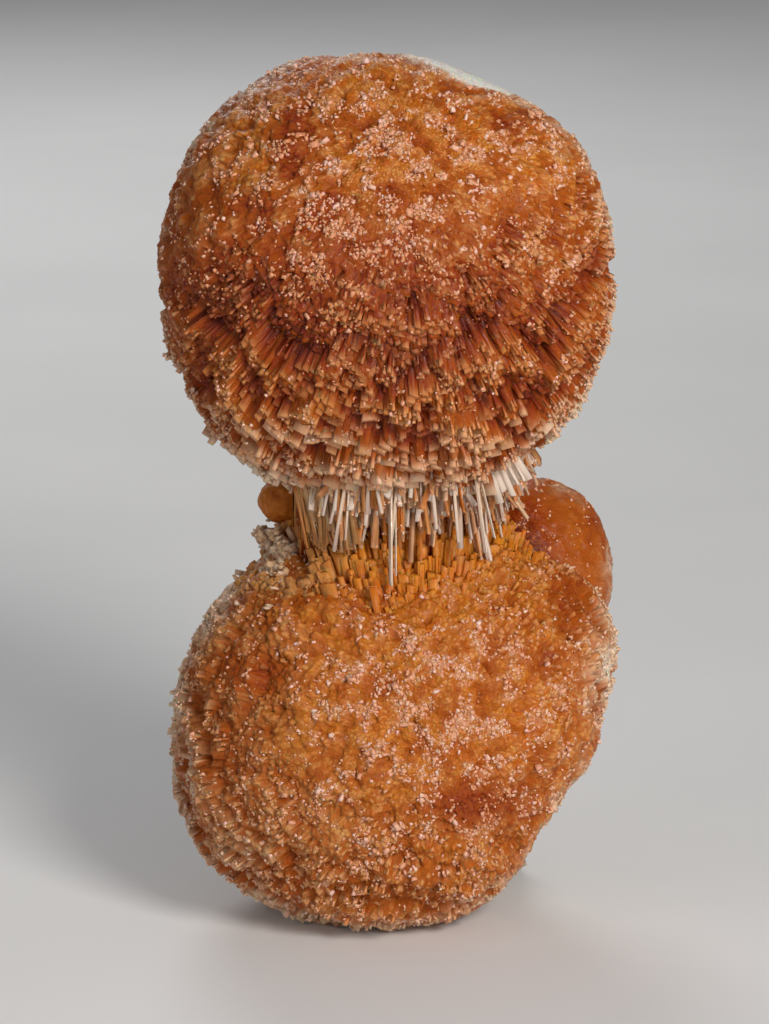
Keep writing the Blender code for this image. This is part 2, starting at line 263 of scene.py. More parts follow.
# Groups of blocky crystals that sit on the specimen: the place, how far they spread, how many, their width,
# the seed, and how white they are. Outward is away from the middle of the specimen at their height.
BLOCK_GROUPS = {
    "side_blocks": ((-9.2, -1.0, 31.8), (2.8, 3.6, 1.6), 480, 0.40, 89, 0.0),
    "side_white_blocks": ((-11.6, 0.0, 31.0), (0.8, 1.6, 1.3), 8, 0.6, 91, 0.7),
    "foot_crystals": ((-5.0, 10.0, 3.2), (3.5, 3.0, 2.2), 110, 0.9, 97, 0.8),
}
BLOCK_MIDDLE = (0.0, 1.5)
BLOCK_START, BLOCK_SEARCH = 6.0, 14.0
# The crumbly rock at the back of the foot: the size of its even faces, its hollow, and its loose crumbs
ROCK_VOXEL = 0.32
HOLLOW_CENTRE, HOLLOW_RADII = (10.46, 9.25, 3.2), (3.0, 2.6, 1.9)
CRUMB_COUNT, CRUMB_SIZE, CRUMB_FLOOR = 1700, 0.42, 0.4

CRYSTAL_AMBER = (0.60, 0.215, 0.014)
CRYSTAL_ORANGE = (0.55, 0.145, 0.007)
# Burnt, deep and maroon are the crystal's darker tones, and also its painted shade in gaps and deep places
CRYSTAL_BURNT = (0.34, 0.072, 0.004)
CRYSTAL_DEEP = (0.23, 0.026, 0.003)
CRYSTAL_MAROON = (0.100, 0.010, 0.003)
CRYSTAL_TAN = (0.40, 0.215, 0.085)
CRYSTAL_CREAM = (0.78, 0.62, 0.46)
CRYSTAL_WHITE = (0.76, 0.74, 0.66)
PALE_TIP, PALE_CRUST = (0.65, 0.31, 0.130), (0.64, 0.315, 0.105)
SUGAR_PINK, SUGAR_WHITE = (0.70, 0.34, 0.20), (0.88, 0.60, 0.52)
DASH_BROWN, BLADE_WHITE = (0.16, 0.055, 0.015), (0.84, 0.70, 0.62)
BLOCK_BEIGE, BLOCK_LILAC, BLOCK_SHADE = (0.56, 0.34, 0.18), (0.62, 0.46, 0.34), (0.28, 0.13, 0.055)
ROCK_BROWN, ROCK_DARK, ROCK_RUST = (0.17, 0.095, 0.045), (0.055, 0.030, 0.016), (0.24, 0.10, 0.035)
ROCK_BLACK, ROCK_GRAIN = (0.010, 0.007, 0.005), (0.34, 0.25, 0.16)
FLOOR_GREY, FLOOR_PALE = (0.74, 0.74, 0.735), (0.78, 0.775, 0.77)
# How far red, green and blue light carry through the crystal, against each other
LIGHT_CARRIES = (1.0, 0.38, 0.14)

FLOOR_SIZE = 6.0
SKY_COLOUR, SKY_STRENGTH = (0.96, 0.97, 1.0, 1.0), 0.17
# Each light's place, what it is aimed at, its width, its power and its colour
MIDDLE = (0.0, 0.0, 0.037)
LIGHTS = {
    "key": ((0.21, -0.38, 0.29), MIDDLE, 0.18, 1.9, (1.0, 0.97, 0.93)),
    "fill": ((-0.40, -0.30, 0.16), MIDDLE, 0.30, 0.35, (0.93, 0.96, 1.0)),
    "low_fill": ((0.22, -0.42, 0.04), (0.0, 0.0, 0.02), 0.16, 0.5, (1.0, 0.96, 0.92)),
    "back": ((-0.10, 0.42, 0.30), MIDDLE, 0.24, 0.7, (1.0, 1.0, 1.0)),
}
# The photograph's view
AIM, DISTANCE, LENS = Vector((-0.00046, 0.0, 0.0349)), 0.42, 175.0


def deselect_all():
    bpy.ops.object.select_all(action="DESELECT")


def smooth_step(low, high, value):
    part = np.clip((value - low) / (high - low), 0.0, 1.0)
    return part * part * (3 - 2 * part)


def unit(vectors):
    return vectors / np.linalg.norm(vectors, axis=-1, keepdims=True)


def noise_at(places, size, seed=0):
    """Smooth noise from about -1 to 1 at each place, with bumps of this size."""
    shift = Vector((seed * 7.3, seed * 3.1, seed * 5.7))
    return np.array([noise.noise(Vector(place) / size + shift) for place in places])


def cell_distance(places, size, seed=0):
    """How far each place is from the nearest of many scattered points, this far apart, as a share of
    that."""
    shift = Vector((seed * 4.1, seed * 9.7, seed * 2.3))
    return np.array([noise.voronoi(Vector(place) / size + shift)[0][0] for place in places])


class Draws:
    """Seeded random numbers, one for each of this many crystals."""

    def __init__(self, seed, count):
        self.random = np.random.default_rng(seed)
        self.count = count

    def between(self, low, high):
        return self.random.uniform(low, high, self.count)

    def some(self, share):
        """True for about this share of them."""
        return self.between(0, 1) < share

    def about(self, middle, spread):
        return self.random.normal(middle, spread, self.count)

    def gamma(self, shape, size):
        return self.random.gamma(shape, size, self.count)

    def sizes(self, middle, spread):
        return middle * self.random.lognormal(0, spread, self.count)

    def widths(self, middle, spread, least, most):
        return np.clip(self.random.lognormal(math.log(middle), spread, self.count), least, most)

    def astray(self, directions, spread):
        """The directions, each turned a little its own way."""
        return unit(directions + self.random.normal(0, 1, directions.shape) * spread)


def rim_radius(ball, angle):
    """The ball's half width at each angle round its rim, on a smooth closed curve through the stated
    ones."""
    rim = np.array(ball["rim"])
    place = (angle / FULL_TURN * len(rim)) % len(rim)
    first = place.astype(int)
    part = place - first
    before, start, end, after = (rim[(first + k) % len(rim)] for k in (-1, 0, 1, 2))
    slope = end - before
    bend = 2 * before - 5 * start + 4 * end - after
    twist = 3 * (start - end) + after - before
    return start + 0.5 * part * (slope + part * (bend + part * twist))


def rim_share(ball, right, up):
    """How far out from the middle of its face each place lies, where the rim is 1."""
    return np.hypot(right, up) / rim_radius(ball, np.arctan2(up, right))


def inside_ball(ball, local):
    """Under 1 inside the ball's smooth form, and over 1 outside it."""
    right, back, up = local.T
    depth = np.abs(back) / np.where(back > 0, ball["back"], ball["front"])
    return rim_share(ball, right, up) ** FULLNESS + depth**FULLNESS


def last_inside(near, far, is_inside):
    """The furthest that each search from near towards far gets while it is still inside."""
    for _ in range(HALVINGS):
        middle = (near + far) / 2
        inside = is_inside(middle)
        near, far = np.where(inside, middle, near), np.where(inside, far, middle)
    return near


def distance_to_form(ball, start, directions):
    """How far the ball's smooth form lies from a point inside it, in each direction."""

    def is_inside(distance):
        return inside_ball(ball, start + distance[:, None] * directions) < 1

    return last_inside(np.zeros(len(directions)), np.full(len(directions), LONGEST), is_inside)


def form_height(ball, across, deep, way):
    """The height of the top of the ball's smooth form at each place across and deep, or of its underside,
    as the way is 1 or -1."""

    def is_inside(height):
        return inside_ball(ball, to_face(ball, np.column_stack([across, deep, height]))) < 1

    middle = np.full(len(across), ball["centre"][2])
    return last_inside(middle, middle + way * LONGEST, is_inside)


def crowd_to_front(directions, crowding):
    """The same directions moved closer together at the front and further apart at the back."""
    back = directions[:, 1] - crowding * (1 - directions[:, 1] ** 2) / 2
    ring = np.sqrt(np.maximum(0.0, 1 - back**2))
    old_ring = np.maximum(1e-9, np.hypot(directions[:, 0], directions[:, 2]))
    return np.stack([directions[:, 0] / old_ring * ring, back, directions[:, 2] / old_ring * ring], axis=1)


def spread_directions(count, seed, crowding):
    """Directions spread with much jitter on a spiral round the back-to-front axis."""
    random = np.random.default_rng(seed)
    place = np.arange(count)
    spacing = math.sqrt(4 * math.pi / count)
    back = 1 - 2 * (place + 0.5) / count
    turn = place * math.pi * (3 - math.sqrt(5))
    ring = np.sqrt(1 - back**2)
    directions = np.stack([ring * np.cos(turn), back, ring * np.sin(turn)], axis=1)
    directions = crowd_to_front(directions, crowding)
    return unit(directions + random.uniform(-1, 1, directions.shape) * spacing)


def to_frame(ball, local):
    return np.array(ball["centre"]) + local @ AXES.T


def to_face(ball, places):
    return (places - np.array(ball["centre"])) @ AXES


def raggedness(ball, local):
    """0 where the ball is smooth and knobbly, and 1 where its crystals stand apart. Its back has patches of
    both."""
    right, back, up = local.T
    wander = 0.05 * noise_at(local, 2.5, ball["seed"])
    rough = np.zeros(len(local))
    for aim_right, aim_up, start, most in ball["ragged"]:
        beyond = (right * aim_right + up * aim_up - start) / ball["rim"][0]
        rough = np.maximum(rough, most * smooth_step(-0.15, 0.65, beyond + wander))
    sheaves = smooth_step(-0.15, 0.4, noise_at(local, 5.0, ball["seed"] + 3)) * smooth_step(-2.0, 5.0, back)
    hidden = np.clip(back / ball["back"], 0.0, 1.0)
    return np.maximum(rough * (1 - 0.3 * hidden), 0.55 * sheaves)


def patch_strength(ball, kind, local):
    """How strongly the ball's soft patches of this kind show. All but the cream fade round the back."""
    right, back, up = local.T
    strength = np.zeros(len(local))
    for centre_right, centre_up, wide, high, most in PATCHES[ball["name"]].get(kind, ()):
        distance = ((right - centre_right) / wide) ** 2 + ((up - centre_up) / high) ** 2
        strength = np.maximum(strength, most * np.exp(-0.7 * distance))
    return strength if kind == "cream" else strength * smooth_step(3.0, -2.0, back)


def white_crust(ball, local):
    """The share of smooth white crust at each place. Its edge is clear in front and uneven behind."""
    if ball is not UPPER:
        return np.zeros(len(local))
    right, back, up = local.T
    away = np.abs(np.degrees(np.arctan2(up, right)) - CRUST_ANGLE) / CRUST_WIDTH
    uneven = noise_at(local, 0.9, 3) + noise_at(local, 2.5, 5)
    edge = CRUST_EDGE + 5.0 * away**2 + 0.5 * uneven
    end = CRUST_BACK + 5.0 * uneven
    away += 1.1 * uneven * smooth_step(-5.0, -2.0, back)
    sides = smooth_step(2.0, 1.3, away)
    return smooth_step(edge, edge + 0.5, back) * sides * smooth_step(end, end - 2.5, back)


def zones(ball, local):
    """Shares from 0 to 1 of each finish at these places on a ball."""
    wander = noise_at(local, 6.0, ball["seed"])
    finer = noise_at(local, 1.3, ball["seed"] + 1)
    blotch = 0.45 * wander + 0.35 * finer
    back = local[:, 1] + 3.2 * wander + 1.2 * finer - ball["pale_from"]
    rim = 0.65 * smooth_step(-7.0, -1.5, back + 1.8 * finer)
    behind = np.clip(0.62 + 0.5 * wander + 0.35 * finer, 0.15, 0.9) * smooth_step(-4.0, 2.5, back)
    chalky = smooth_step(0.05, 0.4, noise_at(local, 4.5, ball["seed"] + 2)) * smooth_step(1.5, 7.0, back)
    patch = {kind: patch_strength(ball, kind, local) for kind in ("red", "tan", "amber", "sugar", "cream")}
    crust = white_crust(ball, local)
    cream = np.maximum(rim, np.maximum(behind, patch["cream"] * (1 + 0.8 * finer)))
    red = patch["red"] * (1 + blotch) + 0.3 * np.maximum(0, -finer - wander)
    return {
        "cream": np.clip(cream * (1 - crust), 0, 1),
        "white": np.maximum(0.4 * chalky, crust),
        "crust": crust,
        "red": np.clip(red, 0, 1) * (1 - crust),
        "tan": np.clip(patch["tan"] * (1.1 + blotch), 0, 1),
        "amber": np.clip(patch["amber"] * (1 + blotch) + 0.3 * blotch, 0, 1),
        "sugar": np.clip(patch["sugar"], 0, 1) * (1 - crust),
    }


def buried(ball, places):
    """True where a place on this ball lies inside another growth."""
    hidden = np.zeros(len(places), bool)
    for other in (UPPER, LOWER, LOBE, NECK):
        if other is not ball:
            hidden |= inside_ball(other, to_face(other, places)) < 0.9
    return hidden


def new_object(name, places, corners, sizes, maps):
    """A mesh object from places in millimetres, the corners of its faces in turn, how many each face has,
    and the flat map of the corners."""
    mesh = bpy.data.meshes.new(name)
    mesh.vertices.add(len(places))
    mesh.vertices.foreach_set("co", (places * MM).astype(np.float32).ravel())
    mesh.loops.add(len(corners))
    mesh.loops.foreach_set("vertex_index", corners.astype(np.int32))
    mesh.polygons.add(len(sizes))
    starts = np.concatenate([[0], np.cumsum(sizes)[:-1]])
    mesh.polygons.foreach_set("loop_start", starts.astype(np.int32))
    mesh.update(calc_edges=True)
    mesh.uv_layers.new(name=BAKE_MAP).data.foreach_set("uv", maps.astype(np.float32).ravel())
    obj = bpy.data.objects.new(name, mesh)
    bpy.context.scene.collection.objects.link(obj)
    return obj


def move_points(mesh, places):
    """Moves the mesh's points to these places in millimetres. None goes through the floor."""
    places[:, 2] = np.maximum(places[:, 2], 0.0)
    mesh.vertices.foreach_set("co", (places * MM).astype(np.float32).ravel())
    mesh.update()


def give_attributes(obj, values):
    """Stores numbers or triples on the mesh's points, for the materials to read."""
    for name, value in values.items():
        kind, key = ("FLOAT", "value") if value.ndim == 1 else ("FLOAT_VECTOR", "vector")
        attribute = obj.data.attributes.new(name, kind, "POINT")
        attribute.data.foreach_set(key, value.astype(np.float32).ravel())


def finish_piece(obj, material, node=BODY, slot="thomsonite"):
    obj.data.materials.clear()
    obj.data.materials.append(material)
    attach(obj, "root")
    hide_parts(node)


def start_editing(name):
    """The new primitive in edit mode, with nothing selected, to shape into a crystal."""
    obj = bpy.context.object
    obj.name = name
    bpy.ops.object.mode_set(mode="EDIT")
    bpy.ops.mesh.select_mode(type="FACE")
    bpy.ops.mesh.select_all(action="DESELECT")
    return obj


def start_block(name):
    """A unit cube to shape. Its tip is at the top, at height 0."""
    deselect_all()
    bpy.ops.mesh.primitive_cube_add(size=1.0, location=(0, 0, -0.5))
    bpy.ops.object.transform_apply(location=True, rotation=False, scale=False)
    return start_editing(name)


def select_faces(obj, wanted):
    """Selects the faces that the test wants, in edit mode."""
    bpy.ops.object.mode_set(mode="OBJECT")
    for polygon in obj.data.polygons:
        polygon.select = wanted(polygon)
    bpy.ops.object.mode_set(mode="EDIT")


def is_top(polygon):
    return polygon.normal.z > 0.9


def slope_top(obj, across, deep, narrowing):
    """Slopes the top by degrees across and back, and narrows it by a share for each."""
    select_faces(obj, is_top)
    for angle, axis in ((across, "Y"), (deep, "X")):
        bpy.ops.transform.rotate(value=math.radians(angle), orient_axis=axis, center_override=(0, 0, 0))
    bpy.ops.transform.resize(value=(*narrowing, 1.0), center_override=(0, 0, 0))


def end_model(obj):
    """The finished model's places, faces and flat map, as arrays for copying. The model itself goes."""
    bpy.ops.mesh.select_all(action="SELECT")
    bpy.ops.uv.smart_project(angle_limit=math.radians(50), island_margin=0.04)
    bpy.ops.object.mode_set(mode="OBJECT")
    mesh = obj.data
    model = {
        "places": np.array([vert.co for vert in mesh.vertices]),
        "corners": np.array([loop.vertex_index for loop in mesh.loops]),
        "sizes": np.array([polygon.loop_total for polygon in mesh.polygons]),
        "map": np.array([corner.uv for corner in mesh.uv_layers.active.data]),
    }
    bpy.data.objects.remove(obj, do_unlink=True)
    return model


def lath_model(number, across, deep, narrowing, rise):
    """A four-sided lath with a blunt end. Where there is a rise, one side of the end stands above the
    other."""
    obj = start_block(f"lath_{number}")
    if rise:
        bpy.ops.mesh.select_all(action="SELECT")
        bpy.ops.mesh.bisect(plane_co=(STEP_PLACE, 0, 0), plane_no=(1, 0, 0))
        select_faces(obj, lambda polygon: is_top(polygon) and polygon.center.x > STEP_PLACE)
        bpy.ops.mesh.extrude_region_move(TRANSFORM_OT_translate={"value": (0, 0, rise)})
        bpy.ops.mesh.select_all(action="SELECT")
        bpy.ops.transform.translate(value=(0, 0, -rise))
    slope_top(obj, across, deep, (narrowing, narrowing))
    return end_model(obj)


def grain_block():
    """A small crystal block with one slanted end."""
    obj = start_block("grain_block")
    slope_top(obj, 18, 0, (0.7, 0.78))
    return end_model(obj)


def grain_diamond():
    """A small crystal with eight faces, made of two pyramids base to base."""
    deselect_all()
    bpy.ops.mesh.primitive_cone_add(vertices=4, radius1=0.62, radius2=0.0, depth=0.55, location=(0, 0, 0))
    obj = start_editing("grain_diamond")
    select_faces(obj, lambda polygon: polygon.normal.z < -0.9)
    bpy.ops.mesh.poke(offset=0.45)
    return end_model(obj)


def turned_frames(axes, roll, reference):
    """Two directions square to each axis, turned about it by each roll. Before that the first is also
    square to the reference, which is moved a hair so that it is never along an axis."""
    side = unit(np.cross(axes, reference + 1e-3))
    other = np.cross(axes, side)
    side_turned = side * np.cos(roll)[:, None] + other * np.sin(roll)[:, None]
    return side_turned, np.cross(axes, side_turned)


def pick(values, chosen):
    return {key: value[chosen] for key, value in values.items()}


def place_copies(model, crystals, chosen):
    """One copy of the model for each chosen crystal, as arrays of places, corners, sizes, map and
    attributes."""
    places, count = model["places"], int(chosen.sum())
    part = pick(crystals, chosen)
    across, thick, long = (part[key][:, None] for key in ("width", "thick", "length"))
    along = np.where(places[:, 2] < -0.9, -long, places[:, 2] * part["width"][:, None])
    right, deep = places[:, 0] * across, places[:, 1] * thick
    world = (
        part["tip"][:, None, :]
        + part["side"][:, None, :] * right[..., None]
        + part["other"][:, None, :] * deep[..., None]
        + part["axis"][:, None, :] * along[..., None]
    )
    world[..., 2] = np.maximum(world[..., 2], 0.0)
    step = len(places)
    values = {
        "tip_distance": -along,
        # Depth grows from the sunk end down each crystal, and the materials darken with it as painted shade
        "depth": part["sunk"][:, None] - along,
        "fibre": np.stack([right, deep, along], axis=-1) + 40 * part["own"][:, None, None],
        **{key: np.repeat(part[key][:, None], step, axis=1) for key in ("own", *FINISHES)},
    }
    return {
        "places": world.reshape(-1, 3),
        "corners": (model["corners"] + step * np.arange(count)[:, None]).ravel(),
        "sizes": np.tile(model["sizes"], count),
        "map": np.tile(model["map"], (count, 1)),
        "cells": np.repeat(np.arange(count), len(model["corners"])),
        "count": count,
        **{key: value.reshape(count * step, *value.shape[2:]) for key, value in values.items()},
    }


def join_crystals(name, models, crystals, kind):
    """One mesh of many crystals. Kind says which model each one copies. In the map each has a cell of its
    own."""
    parts, first_place, first_cell = [], 0, 0
    for number, model in enumerate(models):
        part = place_copies(model, crystals, kind == number)
        part["corners"] = part["corners"] + first_place
        part["cells"] = part["cells"] + first_cell
        first_place += len(part["places"])
        first_cell += part.pop("count")
        parts.append(part)
    joined = {key: np.concatenate([part[key] for part in parts]) for key in parts[0]}
    taken = ("places", "corners", "sizes", "map", "cells")
    places, corners, sizes, maps, cells = (joined.pop(key) for key in taken)
    grid = max(1, math.ceil(math.sqrt(first_cell)))
    maps = (np.stack([cells % grid, cells // grid], axis=1) + 0.04 + 0.92 * maps) / grid
    obj = new_object(name, places, corners, sizes, maps)
    give_attributes(obj, joined)
    return obj


def joined_piece(name, models, crystals, material, kind=None, **place):
    """A finished piece of crystals. Where no kind is given they copy each of the models in turn."""
    if kind is None:
        kind = np.arange(len(crystals["tip"])) % len(models)
    finish_piece(join_crystals(name, models, crystals, kind), material, **place)


def solid_tree():
    """The solid's own surface, for finding how far its columns reach."""
    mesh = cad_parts[BODY].data
    points = [vert.co / MM for vert in mesh.vertices]
    return bvhtree.BVHTree.FromPolygons(points, [tuple(polygon.vertices) for polygon in mesh.polygons])


SOLID = solid_tree()


def solid_reach(starts, directions, form):
    """How far beyond the smooth form the solid reaches along each ray."""
    reach = np.zeros(len(form))
    for number in range(len(form)):
        direction = Vector(directions[number])
        top = Vector(starts[number]) + direction * (form[number] + REACH_ABOVE)
        hit, _, _, distance = SOLID.ray_cast(top, -direction, REACH_ABOVE + REACH_BELOW)
        if hit:
            reach[number] = REACH_ABOVE - distance
    return reach


def find_laths(ball, places):
    """Which lath each place on the ball's form falls in, the ways those laths point, and how near its edge
    it is."""
    shift = Vector((ball["seed"] * 3.7, ball["seed"] * 1.9, ball["seed"] * 5.3))
    source = Vector(ball["source"])
    known, middles = {}, []
    number, edge = np.empty(len(places), int), np.empty(len(places))
    for index, place in enumerate(places):
        distances, points = noise.voronoi(Vector(place) / LATH_SIZE + shift)
        key = points[0].to_tuple(2)
        if key not in known:
            known[key] = len(middles)
            middles.append(((points[0] - shift) * LATH_SIZE - source).normalized())
        number[index] = known[key]
        edge[index] = distances[1] - distances[0]
    return number, np.array(middles), edge


def groups_of(middles, size, seed):
    """The middle of the bundle or clump that each lath belongs to, and a random number of it from -1 to
    1."""
    shift = Vector((seed * 2.3, seed * 4.1, seed * 1.7))
    groups, random = np.empty((len(middles), 3)), np.empty(len(middles))
    for number, middle in enumerate(middles):
        point = noise.voronoi(Vector(middle) * (SPREAD_AT / size) + shift)[1][0]
        groups[number] = point - shift
        random[number] = noise.cell(point)
    return unit(groups), random


def lath_levels(ball, middles):
    """Where each lath's end lies, how far beyond the smooth form, and how it looks there. A bundle is cut
    square across all its laths, so where the laths lie along the surface their ends make steps. At the rim
    ends stand out less, so that the outline stays the ball's."""
    seed, source = ball["seed"], np.array(ball["source"])
    form = distance_to_form(ball, source, middles)
    place = source + middles * form[:, None]
    rough = raggedness(ball, place)
    clumps, clump = groups_of(middles, CLUMP_SIZE, seed)
    bundles, bundle = groups_of(middles, BUNDLE_SIZE, seed + 1)
    own = np.array([noise.cell(Vector(middle) * 900) for middle in middles])
    square = 0.6 * distance_to_form(ball, source, bundles) + 0.4 * distance_to_form(ball, source, clumps)
    square = np.clip(square - form, -1.7, 1.2) * (0.22 + 0.58 * rough)
    starts = np.tile(to_frame(ball, source), (len(middles), 1))
    reach = np.clip(solid_reach(starts, middles @ AXES.T, form), -1.2, 1.2)
    relief = SMOOTH_RELIEF + (ball["relief"] - SMOOTH_RELIEF) * rough
    own_step = 0.07 * own + 0.20 * np.where(own > 0.6, 1.0, 0.0) - 0.20 * np.where(own < -0.75, 1.0, 0.0)
    level = relief * (0.42 * clump + 0.52 * bundle + own_step - 0.2) + square + 0.3 * reach * rough
    at_rim = smooth_step(0.84, 0.98, rim_share(ball, place[:, 0], place[:, 2]))
    level -= np.maximum(level - 0.15, 0.0) * 0.85 * at_rim
    zone = zones(ball, place)
    pale = np.clip(0.45 + 0.3 * clump + 0.35 * bundle + 0.2 * own, 0, 1) * (1 - 0.7 * zone["amber"])
    return {
        "place": place,
        "rough": rough,
        "level": np.clip(level, -2.6, 1.0),
        "top": 0.5 * relief,
        "bundle": bundle,
        "pale": np.clip(pale + patch_strength(ball, "peach", place), 0, 1),
        "own": np.clip(0.5 + 0.2 * own + 0.3 * bundle, 0, 1),
        **zone,
    }


def rounded(places, size, seed, width):
    """The height of round knobs of this size at each place, from 0 between them to 1 on top."""
    return np.sqrt(np.maximum(0.0, 1 - (cell_distance(places, size, seed) / width) ** 2))


def skin_places(ball, outward):
    """Where the ball's knobbly surface lies in each direction from its centre, and what its material reads
    there."""
    seed, lumpy = ball["seed"], ball["lumpy"]
    form = outward * distance_to_form(ball, np.zeros(3), outward)[:, None]
    direction = unit(form - np.array(ball["source"]))
    number, middles, edge = find_laths(ball, form)
    laths = lath_levels(ball, middles)
    rough, top = laths["rough"][number], laths["top"][number]
    zone = zones(ball, form)
    knobs = rounded(form, LUMP, seed, 0.8)
    buds = rounded(form, 0.42 * LUMP, seed + 5, 0.85)
    smooth = 0.36 * knobs + 0.24 * buds + 0.4 * noise_at(form, 4.2, seed + 6) - 0.25
    smooth += 0.12 * noise_at(form, 0.4, seed + 12)
    smooth *= (1 - 0.75 * rough) * (1 - 0.8 * zone["crust"]) * lumpy
    smooth *= 1 + KNOBBLY * smooth_step(-8.0, -13.0, form[:, 2]) * (ball is LOWER)
    level = laths["level"][number] * (1 - 0.7 * zone["crust"]) * lumpy + smooth
    level += 0.3 * zone["crust"]
    local = form + direction * level[:, None]

    # Painted shade: depth, which darkens the colour, grows at lath edges, in hollows and where ends lie low
    groove = smooth_step(0.35, 0.0, edge) * (0.18 + 0.35 * rough)
    valley = np.maximum(0.62 - 0.55 * knobs - 0.45 * buds, 0.0) * (1 - rough) * 1.6
    # The crystal's own brown blotches, which deepen the colour in the same way
    brown = smooth_step(0.05, 0.5, noise_at(form, 2.4, seed + 14) + 0.4 * noise_at(form, 0.7, seed + 15))
    valley += 0.55 * brown * (1 - rough)
    depth = np.maximum(top - level, 0.0) * (0.45 + 0.55 * rough) + groove + valley
    depth = (depth * ball["gap"] + ball["shade"]) * (0.3 + 0.7 * lumpy) + ball["stain_and_shade"] * zone["red"]
    standing = np.clip((level - 0.1) / top, -1, 1)
    # Paler on knob tops and on ends that stand out, as a painted highlight, over the laths' own pale tone
    pale = laths["pale"][number] + (knobs - 0.55) * (1 - rough) + 0.4 * standing * rough
    clusters = noise_at(local, 1.7, seed + 9) + 0.7 * noise_at(local, 0.6, seed + 10)
    sugar = (0.2 + 0.8 * zone["sugar"]) * smooth_step(-0.1, 0.45, clusters) * (1 - zone["crust"])
    values = {
        **{key: zone[key] for key in TINTS},
        "depth": depth,
        "pale": np.clip(pale, 0, 1) * lumpy,
        "own": laths["own"][number],
        "sugar": sugar,
        "ray": direction * SPREAD_AT,
    }
    return local, values, (middles, laths)


def skin(ball, cuts, crowding):
    """The ball's own surface of intergrown crystal, in steps as its laths, bundles and clumps end."""
    deselect_all()
    bpy.ops.mesh.primitive_cube_add(size=2.0, location=(0, 0, 0))
    obj = bpy.context.object
    obj.name = ball["name"] + "_ground"
    bpy.ops.object.mode_set(mode="EDIT")
    bpy.ops.mesh.select_all(action="SELECT")
    for number in cuts:
        bpy.ops.mesh.subdivide(number_cuts=number)
    bpy.ops.transform.tosphere(value=1.0)
    bpy.ops.object.mode_set(mode="OBJECT")
    obj.data.uv_layers.active.name = BAKE_MAP

    places = np.empty(len(obj.data.vertices) * 3)
    obj.data.vertices.foreach_get("co", places)
    outward = crowd_to_front(unit(places.reshape(-1, 3)), crowding)
    local, values, laths = skin_places(ball, outward)
    move_points(obj.data, to_frame(ball, local))
    give_attributes(obj, values)
    obj.data.shade_smooth()
    return obj, laths


def lath_crystals(ball, middles, laths):
    """A crisp lath for each of the ball's own, where they stand apart. Its end stands a little out of the
    skin."""
    draw = Draws(ball["seed"] + 100, len(middles))
    keep = laths["rough"] > draw.between(0.04, 0.35)
    keep &= (laths["place"][:, 1] > -1.5) | draw.some(ball["crisp"])
    keep &= (laths["place"][:, 1] < 1.5) | draw.some(BACK_SHARE)
    laths, middles = pick(laths, keep), middles[keep]
    draw.count = len(middles)
    place, rough = laths["place"], laths["rough"]
    stand = draw.between(0.0, 0.24) * rough
    stand += np.where(draw.some(0.08), draw.between(0.15, 0.6), 0.0) * rough
    level = laths["level"] + stand
    axis = draw.astray(middles, 0.025)
    side, other = turned_frames(axis, 0.4 * laths["bundle"] + draw.about(0, 0.08), BACKWARD)
    fine = np.maximum(patch_strength(ball, "fine", place), laths["cream"] * 0.6)
    fringe = smooth_step(*FRINGE, place[:, 2]) if ball is UPPER else 0.0
    slab = draw.some(SLAB_SHARE * fringe)
    laths["pale"] = np.clip(laths["pale"] + 0.4 * fringe, 0, 1)
    laths["cream"] = np.clip(laths["cream"] + 0.3 * slab * draw.between(0, 1), 0, 1)
    wide = np.where(slab, draw.between(1.6, 2.8), draw.random.lognormal(0.08, 0.16, draw.count))
    level += 0.35 * slab
    crystals = {
        "tip": to_frame(ball, place + middles * level[:, None]),
        "axis": axis @ AXES.T,
        "side": side @ AXES.T,
        "other": other @ AXES.T,
        "width": LATH_SIZE * wide * (1 - 0.35 * fine * ~slab),
        "thick": LATH_SIZE * draw.between(0.6, 0.95) * (1 - 0.2 * fine),
        "length": 1.8 + 2.2 * rough + np.maximum(level, 0.0),
        # How far the end lies below the top, which the materials darken as painted shade
        "sunk": np.maximum(laths["top"] - level, 0.0) * ball["gap"],
        "back": place[:, 1],
        **{key: laths[key] for key in (*FINISHES, "own")},
    }
    kind = np.floor((0.5 + 0.5 * laths["bundle"]) * 0.999 * len(LATH_ENDS)).astype(int)
    kind = np.where(draw.some(0.25), draw.random.integers(0, len(LATH_ENDS), draw.count), kind)
    keep = ~buried(ball, crystals["tip"]) & (crystals["tip"][:, 2] > 0.2)
    return pick(crystals, keep), kind[keep]


def grain_crystals(ball, count, size, cover):
    """Sugary grains that sit on the ball's knobbly surface, in clusters where it is sugary."""
    draw = Draws(ball["seed"] + 200, count)
    local, values, _ = skin_places(ball, spread_directions(count, ball["seed"] + 201, crowding=0.45))
    zone = zones(ball, local)
    chance = cover * values["sugar"] * (1 - 0.6 * raggedness(ball, local))
    chance = chance * (1 - 0.5 * zone["cream"]) * (0.3 + 0.7 * values["pale"])
    places = to_frame(ball, local)
    keep = draw.some(chance) & ~buried(ball, places) & (places[:, 2] > 0.3)
    axis = draw.astray(unit(local - np.array(ball["source"])) @ AXES.T, 0.55)
    side, other = turned_frames(axis, draw.between(0, FULL_TURN), UPWARD)
    width = draw.sizes(size, 0.33)
    crystals = {
        "tip": places + axis * (draw.between(0.02, 0.34) * width)[:, None],
        "axis": axis,
        "side": side,
        "other": other,
        "width": width,
        "thick": width * draw.between(0.5, 1.0),
        "length": width * draw.between(1.0, 1.6),
        "sunk": np.zeros(count),
        "own": draw.between(0, 1),
        "pale": values["pale"],
        **{key: zone[key] for key in TINTS},
    }
    draw.count = int(keep.sum())
    return pick(crystals, keep), (draw.between(0, 1) > 0.6).astype(int)


